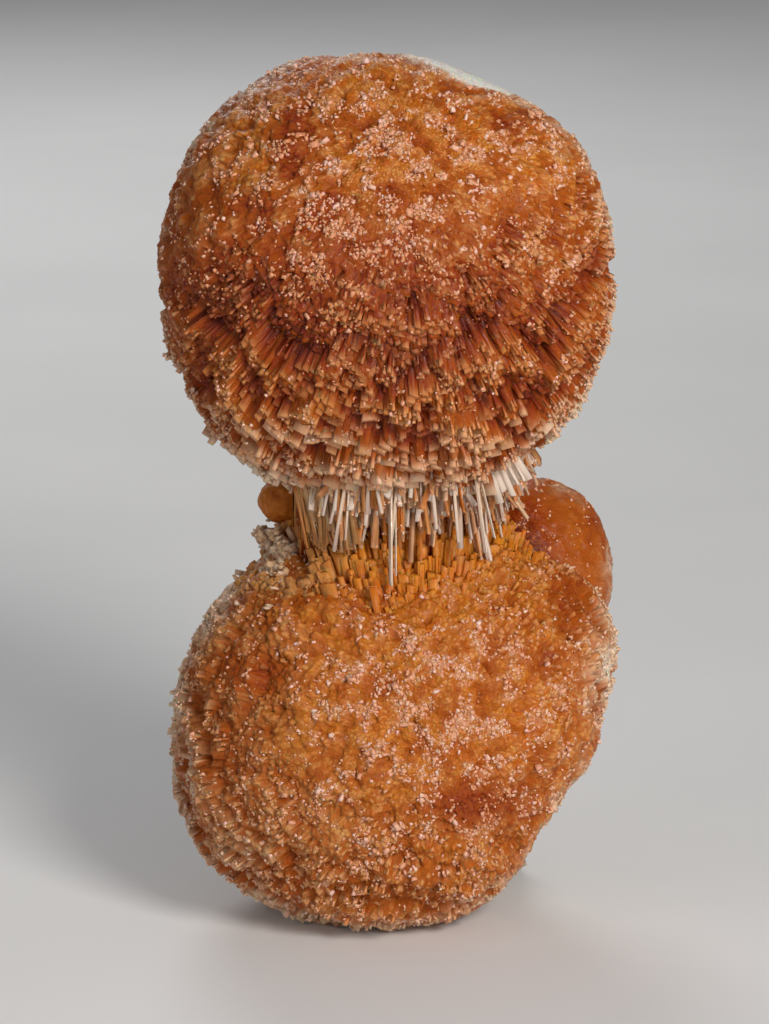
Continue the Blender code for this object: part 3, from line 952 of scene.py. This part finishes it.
def crust_crystals(ball, laths, count, size):
    """Small grains stuck on the ends and outer sides of the laths, most of them where the ends are pale."""
    draw = Draws(ball["seed"] + 300, count)
    weight = (0.15 + laths["pale"]) * (1 - 0.7 * laths["white"])
    part = pick(laths, draw.random.choice(len(weight), count, p=weight / weight.sum()))
    outward = unit(part["tip"] - np.array(ball["centre"]))
    facing = np.sign((part["other"] * outward).sum(axis=1))
    down = draw.random.exponential(0.35, count)
    across = draw.between(-0.5, 0.5) * part["width"]
    tip = part["tip"] + part["side"] * across[:, None] - part["axis"] * down[:, None]
    tip += part["other"] * (0.48 * facing * part["thick"])[:, None]
    width = draw.sizes(size, 0.35)
    axis = draw.astray(outward, 0.6)
    side, other = turned_frames(axis, draw.between(0, FULL_TURN), UPWARD)
    part.update(tip=tip + axis * (0.3 * width)[:, None], axis=axis, side=side, other=other)
    part.update(width=width, thick=width * draw.between(0.6, 1.0), length=width * 1.2)
    part.update(sunk=part["sunk"] + down, own=draw.between(0, 1))
    return part, (draw.between(0, 1) > 0.4).astype(int)


def crystals_from(tip, axis, width, thick, length, roll, own, **finish):
    """Crystals for copying, from the place of each tip and the way it points. What isn't given is 0."""
    side, other = turned_frames(axis, roll, BACKWARD)
    crystals = {"tip": tip, "axis": axis, "side": side, "other": other, "width": width, "thick": thick}
    crystals.update(length=length, own=own)
    for key in ("sunk", *FINISHES):
        crystals[key] = np.broadcast_to(finish.get(key, 0.0), len(tip)).astype(float)
    return crystals


def round_neck(draw):
    """Directions out of the neck all round it, as pairs, closest at the front, how far round the back each
    is, and the roll that turns a crystal's broad face that way."""
    angle = np.linspace(0, FULL_TURN, draw.count, endpoint=False)
    angle = angle + 0.55 * np.cos(angle) + draw.about(0, 0.05)
    out = np.stack([np.cos(angle), np.sin(angle)], axis=1)
    return out, smooth_step(0.0, 0.8, out[:, 1]), np.arctan2(out[:, 0], -out[:, 1])


def hanging_axes(lean, forward):
    """Directions that hang down, lean right by each angle, and come forward by this share."""
    return unit(np.stack([np.sin(lean), np.full(len(lean), -forward), -np.cos(lean)], axis=1))


def hanging_crystals():
    """Laths that hang from the upper ball all round the neck, splayed outwards, the longest nearest its
    core. The second result is true for the clear white ones."""
    draw = Draws(71, HANG_COUNT)
    out, behind, outward = round_neck(draw)
    ring = draw.between(0.74, 1.08)
    start = np.array(HANG_CENTRE) + out * np.array(HANG_RADII) * ring[:, None]
    lean = HANG_SPLAY * ring**2 * (0.35 + 0.65 * np.abs(out[:, 0])) + draw.about(0, 0.05)
    axis = np.stack([out[:, 0] * np.sin(lean), out[:, 1] * np.sin(lean), -np.cos(lean)], axis=1)
    axis = draw.astray(axis, np.where(draw.some(0.2), 0.24, 0.09)[:, None])
    inner = smooth_step(1.0, 0.78, ring)
    length = 0.4 + draw.gamma(1.8, 0.55) + inner * draw.gamma(2.2, 0.70)
    tufts = noise_at(np.column_stack([start, ring * 3.0]), 1.3, 7)
    length = np.clip(length * (1 + 0.7 * tufts), 0.7, 6.8)
    above = form_height(UPPER, start[:, 0], start[:, 1], -1) + 0.7
    length = length + 0.8 + 0.35 * np.clip(above - HANG_TOP, 0.0, 4.0)
    white = draw.some(HANG_WHITE)
    left = smooth_step(-3.0, -7.0, start[:, 0]) * (1 - behind)
    hanging = crystals_from(
        np.column_stack([start, above]) + axis * length[:, None],
        axis,
        draw.widths(0.36, 0.5, 0.14, 1.1),
        draw.between(0.14, 0.34),
        length + 1.6,
        outward + draw.about(0, 0.35),
        draw.between(0, 1),
        # The inner ones get more sunk depth, which is painted shade, and the long ones less
        sunk=(1.0 - ring) * 4.0 - 0.85 * length,
        cream=np.clip(0.18 + 0.5 * white + 0.3 * behind + draw.between(-0.3, 0.3), 0, 1),
        tan=np.clip(draw.between(0.0, 0.8) + 0.6 * left, 0, 1),
        pale=draw.between(0.5, 1.0),
    )
    keep = (hanging["tip"][:, 0] > HANG_LEFT) | (hanging["tip"][:, 1] > 3.0)
    return pick(hanging, keep), white[keep] & (ring[keep] > 0.80)


def long_blade_crystals():
    """The longest blades, which hang in front of all the others."""
    across, length, width = np.array(LONG_BLADES).T
    draw = Draws(73, len(across))
    axis = hanging_axes(0.028 * (across - HANG_CENTRE[0]) + draw.about(0, 0.045), 0.06)
    top = np.column_stack([across, np.tile((LONG_BLADE_FRONT, HANG_TOP - 0.5), (draw.count, 1))])
    return crystals_from(
        top + axis * length[:, None],
        axis,
        width,
        width * 0.6,
        length + 2.0,
        draw.about(0, 0.25),
        draw.between(0, 1),
        sunk=-length,
        cream=0.85,
        pale=0.8,
    )


def sheaf_crystals():
    """The sheaf of cream laths, side by side like a fan."""
    draw = Draws(79, SHEAF_COUNT)
    step = np.arange(SHEAF_COUNT) - (SHEAF_COUNT - 1) / 2
    axis = hanging_axes(SHEAF_LEAN + 0.05 * step, 0.25)
    apart = (math.cos(SHEAF_LEAN), 0.25, math.sin(SHEAF_LEAN))
    start = np.array(SHEAF_PLACE) + np.outer(step * SHEAF_STEP, apart)
    length = draw.between(3.0, 3.8)
    return crystals_from(
        start + axis * length[:, None],
        axis,
        draw.between(0.5, 0.75),
        draw.between(0.35, 0.5),
        length + 1.0,
        draw.about(0, 0.15),
        draw.between(0, 1),
        sunk=-length,
        cream=0.9,
        pale=0.9,
    )


def fibre_crystals():
    """Grey brown fibres that run down and to the right across the left of the neck."""
    draw = Draws(103, FIBRE_COUNT)
    across = draw.between(FIBRE_LEFT, FIBRE_RIGHT)
    along = across - (FIBRE_LEFT + FIBRE_RIGHT) / 2
    front = -6.4 - 0.35 * along + draw.between(-0.9, 0.9)
    axis = hanging_axes(0.26 - 0.05 * along + draw.about(0, 0.12), 0.05)
    length = draw.between(3.0, 7.2)
    top = np.column_stack([across, front, np.full(FIBRE_COUNT, FIBRE_TOP)])
    return crystals_from(
        top + axis * length[:, None],
        axis,
        draw.between(0.12, 0.42),
        draw.between(0.12, 0.3),
        length + 1.2,
        draw.about(0, 0.4),
        draw.between(0, 1),
        sunk=draw.between(-0.4, 1.6) - 0.7 * length,
        tan=draw.between(0.6, 1.0),
        cream=draw.between(-0.3, 0.25).clip(0, 1),
        pale=0.15,
    )


def column_crystals():
    """Amber columns that stand on the lower ball all round the neck. Those against its core are tall, and
    painted dark as shade."""
    draw = Draws(101, COLUMN_COUNT)
    out, behind, outward = round_neck(draw)
    least, most = COLUMN_RINGS
    outer = draw.between(0, 1) ** 0.8
    ring = least + (most - least) * outer
    top = np.array(COLUMN_CENTRE) + out * np.array(COLUMN_RADII) * ring[:, None]
    floor = form_height(LOWER, top[:, 0], top[:, 1], 1)
    tufts = noise_at(np.column_stack([top, ring]), 1.4, 9)
    lower_right = 1 - 0.55 * smooth_step(4.0, 10.0, top[:, 0]) * (1 - behind)
    stand = COLUMN_MOST * (1 - outer) ** 1.8 * (1 + 0.5 * tufts) * lower_right
    stand += draw.gamma(1.5, 0.2) - 0.35 * outer
    tip = np.column_stack([top, floor + stand - 0.15])
    away = unit(tip - to_frame(LOWER, np.array(LOWER["source"])))
    axis = draw.astray(away + 0.7 * UPWARD, 0.03)
    columns = crystals_from(
        tip,
        axis,
        draw.widths(0.62, 0.35, 0.28, 1.4),
        draw.between(0.35, 0.7),
        (stand + COLUMN_SUNK) / axis[:, 2],
        outward + draw.about(0, 0.3),
        draw.between(0, 1),
        # Those nearer the core get more sunk depth, for painted shade
        sunk=1.2 * (1 - outer) ** 2 - 2.0 + draw.about(0, 0.4),
        amber=draw.between(0.2, 0.9),
        cream=0.6 * behind * draw.between(0.2, 1.0),
        tan=0.6 * smooth_step(-2.0, -8.0, top[:, 0]),
        pale=draw.between(0.0, 0.7) * draw.some(0.35),
    )
    open_left = (tip[:, 0] > HANG_LEFT) | (tip[:, 1] > 5.0) | (stand < 0.6)
    return pick(columns, ~buried(NECK, tip) & open_left & (floor > LOWER["centre"][2] + 4.0))


def core_crystals():
    """Long brown and amber laths that stand side by side against the core of the neck, all round it."""
    draw = Draws(107, CORE_COUNT)
    out, behind, outward = round_neck(draw)
    height = draw.between(CORE_LOW, CORE_HIGH)
    waist = np.sqrt(np.maximum(0.0, 1 - ((height - NECK["centre"][2]) / NECK["rim"][1]) ** 2))
    ring = 0.99 * np.maximum(waist, 0.6) + draw.between(-0.03, 0.04)
    place = np.array(COLUMN_CENTRE) + out * np.array(COLUMN_RADII) * ring[:, None]
    axis = np.column_stack([draw.random.normal(0, 0.05, (CORE_COUNT, 2)), np.ones(CORE_COUNT)])
    return crystals_from(
        np.column_stack([place, height]),
        unit(axis),
        draw.widths(0.65, 0.35, 0.25, 1.4),
        draw.between(0.5, 1.0),
        draw.between(3.0, 7.0),
        outward + draw.about(0, 0.3),
        draw.between(0, 1),
        sunk=draw.between(-3.0, 0.2) - 1.5 * behind,
        amber=draw.between(0.1, 0.8),
        tan=draw.between(0.0, 0.6),
        cream=0.5 * behind * draw.between(0, 1),
        pale=0.4,
    )


def block_crystals(centre, spread, count, size, seed, white):
    """Blocky crystals that sit half sunk on the specimen round a place, pointing every way out of it."""
    draw = Draws(seed, count)
    aim = np.array(centre) + draw.random.normal(0, 0.5, (count, 3)) * spread
    outward = unit(aim - np.array([*BLOCK_MIDDLE, aim[:, 2].mean()]))
    tips, axes = [], []
    for place, way in zip(aim, outward):
        hit, normal, _, _ = SOLID.ray_cast(Vector(place + BLOCK_START * way), Vector(-way), BLOCK_SEARCH)
        if hit:
            tips.append(hit)
            axes.append(Vector(normal) + Vector(way) * 0.6)
    draw.count = len(tips)
    axes = draw.astray(unit(np.array(axes)), 0.3)
    width = draw.sizes(size, 0.35)
    return crystals_from(
        np.array(tips) + axes * (width * draw.between(0.2, 1.1))[:, None],
        axes,
        width,
        width * draw.between(0.45, 0.9),
        width * draw.between(1.4, 2.4),
        draw.between(0, FULL_TURN),
        draw.between(0, 1),
        white=white,
    )


def rock_piece():
    """The rock, from a copy of its solid made into a crumbly surface. It is painted darkest in its hollow,
    and darker in its crevices, as shade.
    """
    obj = bpy.data.objects.new("rock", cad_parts[ROCK].data.copy())
    bpy.context.scene.collection.objects.link(obj)
    deselect_all()
    obj.select_set(True)
    bpy.context.view_layer.objects.active = obj
    bpy.ops.object.mode_set(mode="EDIT")
    bpy.ops.mesh.select_all(action="SELECT")
    bpy.ops.mesh.remove_doubles(threshold=1e-6)
    bpy.ops.object.mode_set(mode="OBJECT")
    remesh = obj.modifiers.new("even_faces", "REMESH")
    remesh.mode = "VOXEL"
    remesh.voxel_size = ROCK_VOXEL * MM
    bpy.ops.object.modifier_apply(modifier=remesh.name)
    mesh = obj.data
    places = np.array([vert.co for vert in mesh.vertices]) / MM
    normals = np.array([vert.normal for vert in mesh.vertices])
    crumbs = cell_distance(places, 1.3, 5)
    change = 1.1 * noise_at(places, 3.2, 3) + 0.3 * noise_at(places, 0.9, 4) + 0.35 * (0.6 - crumbs) - 0.3
    places = places + normals * change[:, None]
    move_points(mesh, places)
    # The crevices and the hollow, which the material paints near black as shade
    hollow = (((places - np.array(HOLLOW_CENTRE)) / np.array(HOLLOW_RADII)) ** 2).sum(axis=1)
    give_attributes(obj, {"crevice": np.clip(-change * 1.3, 0, 1), "hollow": smooth_step(1.9, 0.7, hollow)})
    mesh.shade_smooth()
    return obj


def crumb_crystals(rock):
    """Loose-looking crumbs of rock stuck all over it, but for its foot."""
    draw = Draws(83, CRUMB_COUNT)
    points = rock.data.vertices
    chosen = draw.random.choice(len(points), CRUMB_COUNT, replace=False)
    places = np.array([points[number].co for number in chosen]) / MM
    normals = np.array([points[number].normal for number in chosen])
    width = draw.sizes(CRUMB_SIZE, 0.4)
    axis = draw.astray(normals, 0.6)
    crumbs = crystals_from(
        places + axis * (0.4 * width)[:, None],
        axis,
        width,
        width * draw.between(0.6, 1.0),
        width * draw.between(1.0, 1.6),
        draw.between(0, FULL_TURN),
        draw.between(0, 1),
    )
    return pick(crumbs, places[:, 2] > CRUMB_FLOOR)


class Recipe:
    """A node tree, with short calls for the nodes that a finish is made of. A value given to them may be a
    number, a colour or another node's output. Sizes are in millimetres."""

    def __init__(self, tree):
        self.tree = tree

    def put(self, value, socket):
        if isinstance(value, bpy.types.NodeSocket):
            self.tree.links.new(value, socket)
        elif socket.type == "RGBA":
            socket.default_value = (*value, 1.0)
        else:
            socket.default_value = value

    def node(self, kind, inputs=(), **settings):
        """A new node. Inputs holds the name or number of a socket and its value, in pairs."""
        node = self.tree.nodes.new("ShaderNode" + kind)
        for key, value in settings.items():
            setattr(node, key, value)
        for key, value in dict(inputs).items():
            self.put(value, node.inputs[key])
        return node

    def number(self, name):
        """A number that the mesh holds at each place."""
        return self.node("Attribute", attribute_name=name).outputs["Fac"]

    def triple(self, name):
        """A triple that the mesh holds at each place."""
        return self.node("Attribute", attribute_name=name).outputs["Vector"]

    def mixed(self, share, first, second):
        return self.node("Mix", {0: share, 6: first, 7: second}, data_type="RGBA").outputs[2]

    def maths(self, operation, *values, clamp=False):
        return self.node("Math", enumerate(values), operation=operation, use_clamp=clamp).outputs[0]

    def times(self, first, *others):
        """The product, worked out from the left."""
        for other in others:
            first = self.maths("MULTIPLY", first, other)
        return first

    def ranged(self, value, low, high, to_low=0.0, to_high=1.0):
        """The value eased from one range to another, and held at its ends."""
        inputs = {"Value": value, "From Min": low, "From Max": high, "To Min": to_low, "To Max": to_high}
        return self.node("MapRange", inputs, interpolation_type="SMOOTHSTEP").outputs["Result"]

    def noise(self, place, scale, detail):
        """Noise from 0 to 1 at each place."""
        return self.node("TexNoise", {"Vector": place, "Scale": scale, "Detail": detail}).outputs["Fac"]

    def mottle(self, size, detail=3.0):
        """Noise from 0 to 1 in blotches of this size."""
        return self.noise(self.node("TexCoord").outputs["Object"], 1.0 / (size * MM), detail)

    def cells(self, place, scale):
        """Small rounded cells: how far each place is from its cell's middle, and a number for each cell."""
        texture = self.node("TexVoronoi", {"Vector": place, "Scale": scale})
        return texture.outputs["Distance"], texture.outputs["Color"]

    def bumped(self, height, distance, strength):
        inputs = {"Height": height, "Distance": distance * MM, "Strength": strength}
        return self.node("Bump", inputs).outputs["Normal"]


class Finish(Recipe):
    """A material of the specimen or the floor."""

    def __init__(self, name):
        self.material = bpy.data.materials.new(name)
        self.material.use_nodes = True
        super().__init__(self.material.node_tree)

    def crystal_colour(self, group, mottled):
        """The crystal colour group, fed from the numbers that the mesh holds."""
        node = self.node("Group", node_tree=group)
        for name in CRYSTAL_NUMBERS:
            self.put(self.number(name.lower()), node.inputs[name])
        self.put(self.ranged(mottled, 0.35, 0.65, -1.0, 1.0), node.inputs["Mottle"])
        return node.outputs["Colour"]

    def grooves(self, group):
        return self.node("Group", node_tree=group).outputs["Height"]

    def made(self, colour, roughness, more=()):
        """The material, once its shader has its colour, its roughness and any more that it needs."""
        shader = self.tree.nodes["Principled BSDF"]
        for name, value in {"Base Color": colour, "Roughness": roughness, **dict(more)}.items():
            self.put(value, shader.inputs[name])
        return self.material


def translucent(weight, scale, shine):
    """The constants of crystal that light carries through for this many millimetres."""
    return {
        "Subsurface Weight": weight,
        "Subsurface Scale": scale * MM,
        "Subsurface Radius": LIGHT_CARRIES,
        "Specular IOR Level": shine,
    }


CRYSTAL_NUMBERS = ("Depth", "Own", "Cream", "White", "Red", "Tan", "Amber")


def crystal_colour_group():
    """The colour of the crystal from its depth and its place: amber and orange, painted shade of deep red
    in the gaps, tan at the edges, and cream to white round the back."""
    group = bpy.data.node_groups.new("crystal_colour", "ShaderNodeTree")
    for name in (*CRYSTAL_NUMBERS, "Mottle"):
        group.interface.new_socket(name, in_out="INPUT", socket_type="NodeSocketFloat")
    group.interface.new_socket("Colour", in_out="OUTPUT", socket_type="NodeSocketColor")
    recipe = Recipe(group)
    read = group.nodes.new("NodeGroupInput").outputs
    amber = recipe.maths("ADD", read["Amber"], recipe.times(read["Mottle"], 0.5), clamp=True)
    colour = recipe.mixed(amber, CRYSTAL_ORANGE, CRYSTAL_AMBER)
    colour = recipe.mixed(recipe.times(read["Own"], 0.25), colour, CRYSTAL_DEEP)
    colour = recipe.mixed(read["Tan"], colour, CRYSTAL_TAN)
    colour = recipe.mixed(read["Cream"], colour, CRYSTAL_CREAM)
    # Painted shade: depth and red patches take the colour to burnt, deep and maroon red, less where it is
    # pale
    reach = recipe.maths("ADD", read["Depth"], recipe.times(read["Red"], 1.4))
    pale = recipe.maths("MAXIMUM", recipe.times(read["Cream"], 0.6), read["White"])
    reach = recipe.times(reach, recipe.maths("SUBTRACT", 1.0, recipe.times(pale, 0.7)))
    steps = ((0.1, 1.0, CRYSTAL_BURNT), (0.9, 2.0, CRYSTAL_DEEP), (1.8, 3.2, CRYSTAL_MAROON))
    for start, full, deeper in steps:
        colour = recipe.mixed(recipe.ranged(reach, start, full), colour, deeper)
    colour = recipe.mixed(read["White"], colour, CRYSTAL_WHITE)
    recipe.put(colour, group.nodes.new("NodeGroupOutput").inputs["Colour"])
    return group


def groove_group():
    """Fine grooves that run along a crystal, as a height."""
    group = bpy.data.node_groups.new("striation", "ShaderNodeTree")
    group.interface.new_socket("Height", in_out="OUTPUT", socket_type="NodeSocketFloat")
    recipe = Recipe(group)
    drawn_out = {0: recipe.triple("fibre"), 1: (7.0, 7.0, 0.7)}
    along = recipe.node("VectorMath", drawn_out, operation="MULTIPLY").outputs[0]
    recipe.put(recipe.noise(along, 1.0, 3.0), group.nodes.new("NodeGroupOutput").inputs["Height"])
    return group


def lath_material(colours, grooving):
    """Translucent laths: orange with pale ends, and painted shade of deep red in the gaps between them."""
    finish = Finish("thomsonite_laths")
    colour = finish.crystal_colour(colours, finish.mottle(1.4))
    end = finish.ranged(finish.number("tip_distance"), 0.7, 0.0)
    # 1 where a place lies shallow: pale ends and streaks fade in the painted shade of deep places
    sunk = finish.ranged(finish.number("depth"), 2.2, 0.4)
    tip = finish.mixed(finish.number("cream"), PALE_TIP, CRYSTAL_CREAM)
    tip = finish.mixed(finish.number("white"), tip, CRYSTAL_WHITE)
    colour = finish.mixed(finish.times(end, finish.number("pale"), sunk, 0.72), colour, tip)
    grooves = finish.grooves(grooving)
    streaked = finish.times(finish.ranged(grooves, 0.45, 0.7), finish.times(sunk, 0.25))
    colour = finish.mixed(streaked, colour, tip)
    roughness = finish.ranged(grooves, 0.3, 0.7, 0.25, 0.55)
    normal = finish.bumped(grooves, 0.06, 0.6)
    return finish.made(colour, roughness, {"Normal": normal, **translucent(0.5, 0.3, 0.22)})


def ground_material(name, colours, relief):
    """The intergrown crystal between and under the laths, crusted with fine sugar. Its fine relief has this
    depth."""
    finish = Finish(name)
    times, ranged, maths = finish.times, finish.ranged, finish.maths
    mixed, number = finish.mixed, finish.number
    colour = finish.crystal_colour(colours, finish.mottle(1.9))
    white = number("white")
    coloured = maths("SUBTRACT", 1.0, maths("MAXIMUM", white, number("cream")), clamp=True)
    blush = times(ranged(finish.mottle(0.8), 0.50, 0.70), 0.28)
    colour = mixed(times(blush, coloured), colour, CRYSTAL_DEEP)
    # 1 where a place lies shallow, so that pale crust and sugar fade in the painted shade of deep places
    shallow = times(ranged(number("depth"), 0.9, 0.1), coloured)
    # Pale crust in blotches where the pale number is high, which is partly a painted highlight on knob tops
    haze = times(ranged(finish.mottle(1.2), 0.42, 0.66), number("pale"))
    colour = mixed(times(haze, times(shallow, 0.7)), colour, PALE_CRUST)

    # The ends of single crystals, which draw out where they lie along the surface
    ray = finish.triple("ray")
    middle, crystal = finish.cells(ray, 1.0 / 0.42)
    seam = times(ranged(middle, 0.34, 0.62), 0.55)
    colour = mixed(times(seam, coloured), colour, CRYSTAL_BURNT)
    chosen = times(ranged(crystal, 0.48, 0.62), ranged(middle, 0.55, 0.25))
    chosen = times(chosen, times(shallow, number("pale")))
    colour = mixed(times(chosen, 0.75), colour, PALE_CRUST)

    distance, cell = finish.cells(finish.node("TexCoord").outputs["Object"], 1.0 / (0.26 * MM))
    crusted = times(ranged(cell, 0.40, 0.60), number("sugar"))
    colour = mixed(times(crusted, times(shallow, 0.75)), colour, SUGAR_PINK)
    # Brown marks: dots where crystals are seen end on, and dashes where they lie along the surface
    marks = finish.noise(ray, 1.0 / 0.3, 2.0)
    edge = times(number("cream"), maths("SUBTRACT", 1.0, white, clamp=True))
    dashed = times(ranged(marks, 0.52, 0.62), maths("ADD", edge, 0.12, clamp=True))
    colour = mixed(times(dashed, 0.8), colour, DASH_BROWN)
    stained = times(ranged(finish.mottle(3.5, 5.0), 0.50, 0.66), 0.45)
    colour = mixed(times(stained, white), colour, CRYSTAL_CREAM)
    height = maths("ADD", times(distance, -0.5), times(marks, 0.4))
    height = maths("SUBTRACT", height, middle)
    roughness = ranged(cell, 0.3, 0.7, 0.35, 0.62)
    normal = finish.bumped(height, relief, 0.8)
    return finish.made(colour, roughness, {"Normal": normal, **translucent(0.6, 0.6, 0.16)})


def grain_material():
    """Pinkish white grains of sugary crystal."""
    finish = Finish("thomsonite_sugar")
    own = finish.number("own")
    colour = finish.mixed(finish.ranged(own, 0.55, 1.1), SUGAR_PINK, SUGAR_WHITE)
    colour = finish.mixed(finish.number("cream"), colour, CRYSTAL_CREAM)
    colour = finish.mixed(finish.times(finish.number("red"), 0.5), colour, CRYSTAL_ORANGE)
    # Painted shade on grains that lie deep among the laths
    colour = finish.mixed(finish.ranged(finish.number("depth"), 0.3, 1.8, 0.0, 0.85), colour, CRYSTAL_DEEP)
    normal = finish.bumped(finish.mottle(0.12), 0.03, 0.5)
    roughness = finish.ranged(own, 0.0, 1.0, 0.15, 0.35)
    return finish.made(colour, roughness, {"Normal": normal, **translucent(0.5, 0.12, 0.4)})


def glassy_material(colours, grooving):
    """Clear, whitish blades with grooves along them."""
    finish = Finish("thomsonite_glassy")
    colour = finish.crystal_colour(colours, finish.mottle(1.0))
    end = finish.ranged(finish.number("tip_distance"), 5.0, 0.0)
    colour = finish.mixed(finish.times(end, 0.55), colour, BLADE_WHITE)
    grooves = finish.grooves(grooving)
    clear = {"Transmission Weight": 0.15, "IOR": 1.52}
    normal = finish.bumped(grooves, 0.05, 0.6)
    return finish.made(colour, finish.ranged(grooves, 0.3, 0.7, 0.10, 0.30), {"Normal": normal, **clear})


def block_material(grooving):
    """Dull, greyish beige blocks."""
    finish = Finish("thomsonite_blocks")
    colour = finish.mixed(finish.number("own"), BLOCK_BEIGE, BLOCK_LILAC)
    colour = finish.mixed(finish.number("white"), colour, CRYSTAL_WHITE)
    colour = finish.mixed(finish.ranged(finish.number("tip_distance"), 0.3, 1.6), colour, BLOCK_SHADE)
    grooves = finish.grooves(grooving)
    roughness = finish.ranged(grooves, 0.3, 0.7, 0.3, 0.55)
    normal = finish.bumped(grooves, 0.05, 0.5)
    return finish.made(colour, roughness, {"Normal": normal, **translucent(0.25, 0.12, 0.2)})


def rock_material():
    """Brown, earthy rock with lighter grains, and painted shade near black in its hollow and crevices."""
    finish = Finish("rock_brown")
    grain = finish.mottle(0.5, 4.0)
    colour = finish.mixed(finish.ranged(grain, 0.35, 0.65), ROCK_DARK, ROCK_BROWN)
    colour = finish.mixed(finish.ranged(finish.mottle(2.4), 0.5, 0.7), colour, ROCK_RUST)
    # Painted shade in the crevices and the hollow
    for name in ("crevice", "hollow"):
        colour = finish.mixed(finish.number(name), colour, ROCK_BLACK)
    normal = finish.bumped(grain, 0.15, 0.8)
    return finish.made(colour, finish.ranged(grain, 0.3, 0.7, 0.95, 0.7), {"Normal": normal})


def crumb_material():
    """Grains of rock, from rust to dull beige."""
    finish = Finish("rock_crumbs")
    grain = finish.mottle(0.3)
    colour = finish.mixed(finish.number("own"), ROCK_DARK, ROCK_GRAIN)
    colour = finish.mixed(finish.ranged(grain, 0.4, 0.7), colour, ROCK_RUST)
    normal = finish.bumped(grain, 0.08, 0.7)
    return finish.made(colour, finish.ranged(grain, 0.3, 0.7, 0.9, 0.6), {"Normal": normal})


def floor_material():
    finish = Finish("pale_floor")
    shade = finish.ranged(finish.mottle(60.0), 0.3, 0.7)
    return finish.made(finish.mixed(shade, FLOOR_GREY, FLOOR_PALE), 0.7)


def make_stage():
    deselect_all()
    bpy.ops.mesh.primitive_plane_add(size=FLOOR_SIZE, location=(0, 0, 0))
    floor = bpy.context.object
    floor.name = "floor"
    floor.data.materials.append(floor_material())
    world = bpy.data.worlds.new("soft_studio")
    bpy.context.scene.world = world
    world.use_nodes = True
    sky = world.node_tree.nodes["Background"].inputs
    sky["Color"].default_value = SKY_COLOUR
    sky["Strength"].default_value = SKY_STRENGTH


def make_lights():
    bpy.context.scene.view_settings.view_transform = "Standard"
    for name, (place, target, size, power, colour) in LIGHTS.items():
        data = bpy.data.lights.new(name, "AREA")
        data.shape = "DISK"
        data.size = size
        data.energy = power
        data.color = colour
        light = bpy.data.objects.new(name, data)
        bpy.context.scene.collection.objects.link(light)
        light.location = place
        light.rotation_euler = (Vector(target) - Vector(place)).to_track_quat("-Z", "Y").to_euler()


def make_camera():
    data = bpy.data.cameras.new("camera")
    data.lens = LENS
    camera = bpy.data.objects.new("camera", data)
    bpy.context.scene.collection.objects.link(camera)
    camera.location = AIM + DISTANCE * Vector((0, -math.cos(FACE_UP), math.sin(FACE_UP)))
    camera.rotation_euler = (math.pi / 2 - FACE_UP, 0.0, 0.0)
    bpy.context.scene.camera = camera


make_camera()
make_stage()
make_lights()

lath_models = [lath_model(number, *end) for number, end in enumerate(LATH_ENDS)]
grains = [grain_block(), grain_diamond()]
colours, grooving = crystal_colour_group(), groove_group()
lath_finish = lath_material(colours, grooving)
ground_finish = ground_material("thomsonite_ground", colours, 0.12)
waxy_finish = ground_material("thomsonite_waxy", colours, 0.03)
grain_finish = grain_material()

for ball in (UPPER, LOWER):
    name = ball["name"]
    ground, laths = skin(ball, BALL_CUTS, BALL_CROWDING)
    finish_piece(ground, ground_finish)
    crystals, kind = lath_crystals(ball, *laths)
    front = crystals.pop("back") < -1.0
    crust, crust_kind = crust_crystals(ball, pick(crystals, front), *BALL_CRUST)
    joined_piece(f"{name}_crust", grains, crust, grain_finish, crust_kind)
    for half, chosen in (("front", front), ("back", ~front)):
        joined_piece(f"{name}_laths_{half}", lath_models, pick(crystals, chosen), lath_finish, kind[chosen])
    sugar, sugar_kind = grain_crystals(ball, *BALL_SUGAR)
    joined_piece(f"{name}_sugar", grains, sugar, grain_finish, sugar_kind)

for ball, cuts, finish in (
    (LOBE, LOBE_CUTS, waxy_finish),
    (NECK, NECK_CUTS, ground_finish),
    (KNOB, KNOB_CUTS, waxy_finish),
):
    ground, _ = skin(ball, cuts, SMALL_CROWDING)
    finish_piece(ground, finish)
sugar, sugar_kind = grain_crystals(LOBE, *LOBE_SUGAR)
joined_piece("lobe_sugar", grains, sugar, grain_finish, sugar_kind)

glassy_finish = glassy_material(colours, grooving)
block_finish = block_material(grooving)
hanging, glassy = hanging_crystals()
joined_piece("neck_laths", lath_models, pick(hanging, ~glassy), lath_finish)
joined_piece("neck_glassy_laths", lath_models, pick(hanging, glassy), glassy_finish)
crust, crust_kind = crust_crystals(NECK, hanging, *NECK_CRUST)
joined_piece("neck_crust", grains, crust, grain_finish, crust_kind)
joined_piece("neck_fibres", lath_models, fibre_crystals(), lath_finish)
joined_piece("neck_columns", lath_models, column_crystals(), lath_finish)
joined_piece("neck_core_laths", lath_models, core_crystals(), lath_finish)
joined_piece("neck_blades", lath_models, long_blade_crystals(), glassy_finish)
joined_piece("neck_sheaf", lath_models, sheaf_crystals(), glassy_finish)
for name, group in BLOCK_GROUPS.items():
    joined_piece(name, lath_models, block_crystals(*group), block_finish)
rock = rock_piece()
crumbs = crumb_crystals(rock)
finish_piece(rock, rock_material(), ROCK, "rock")
joined_piece("rock_crumbs", grains, crumbs, crumb_material(), node=ROCK, slot="rock")
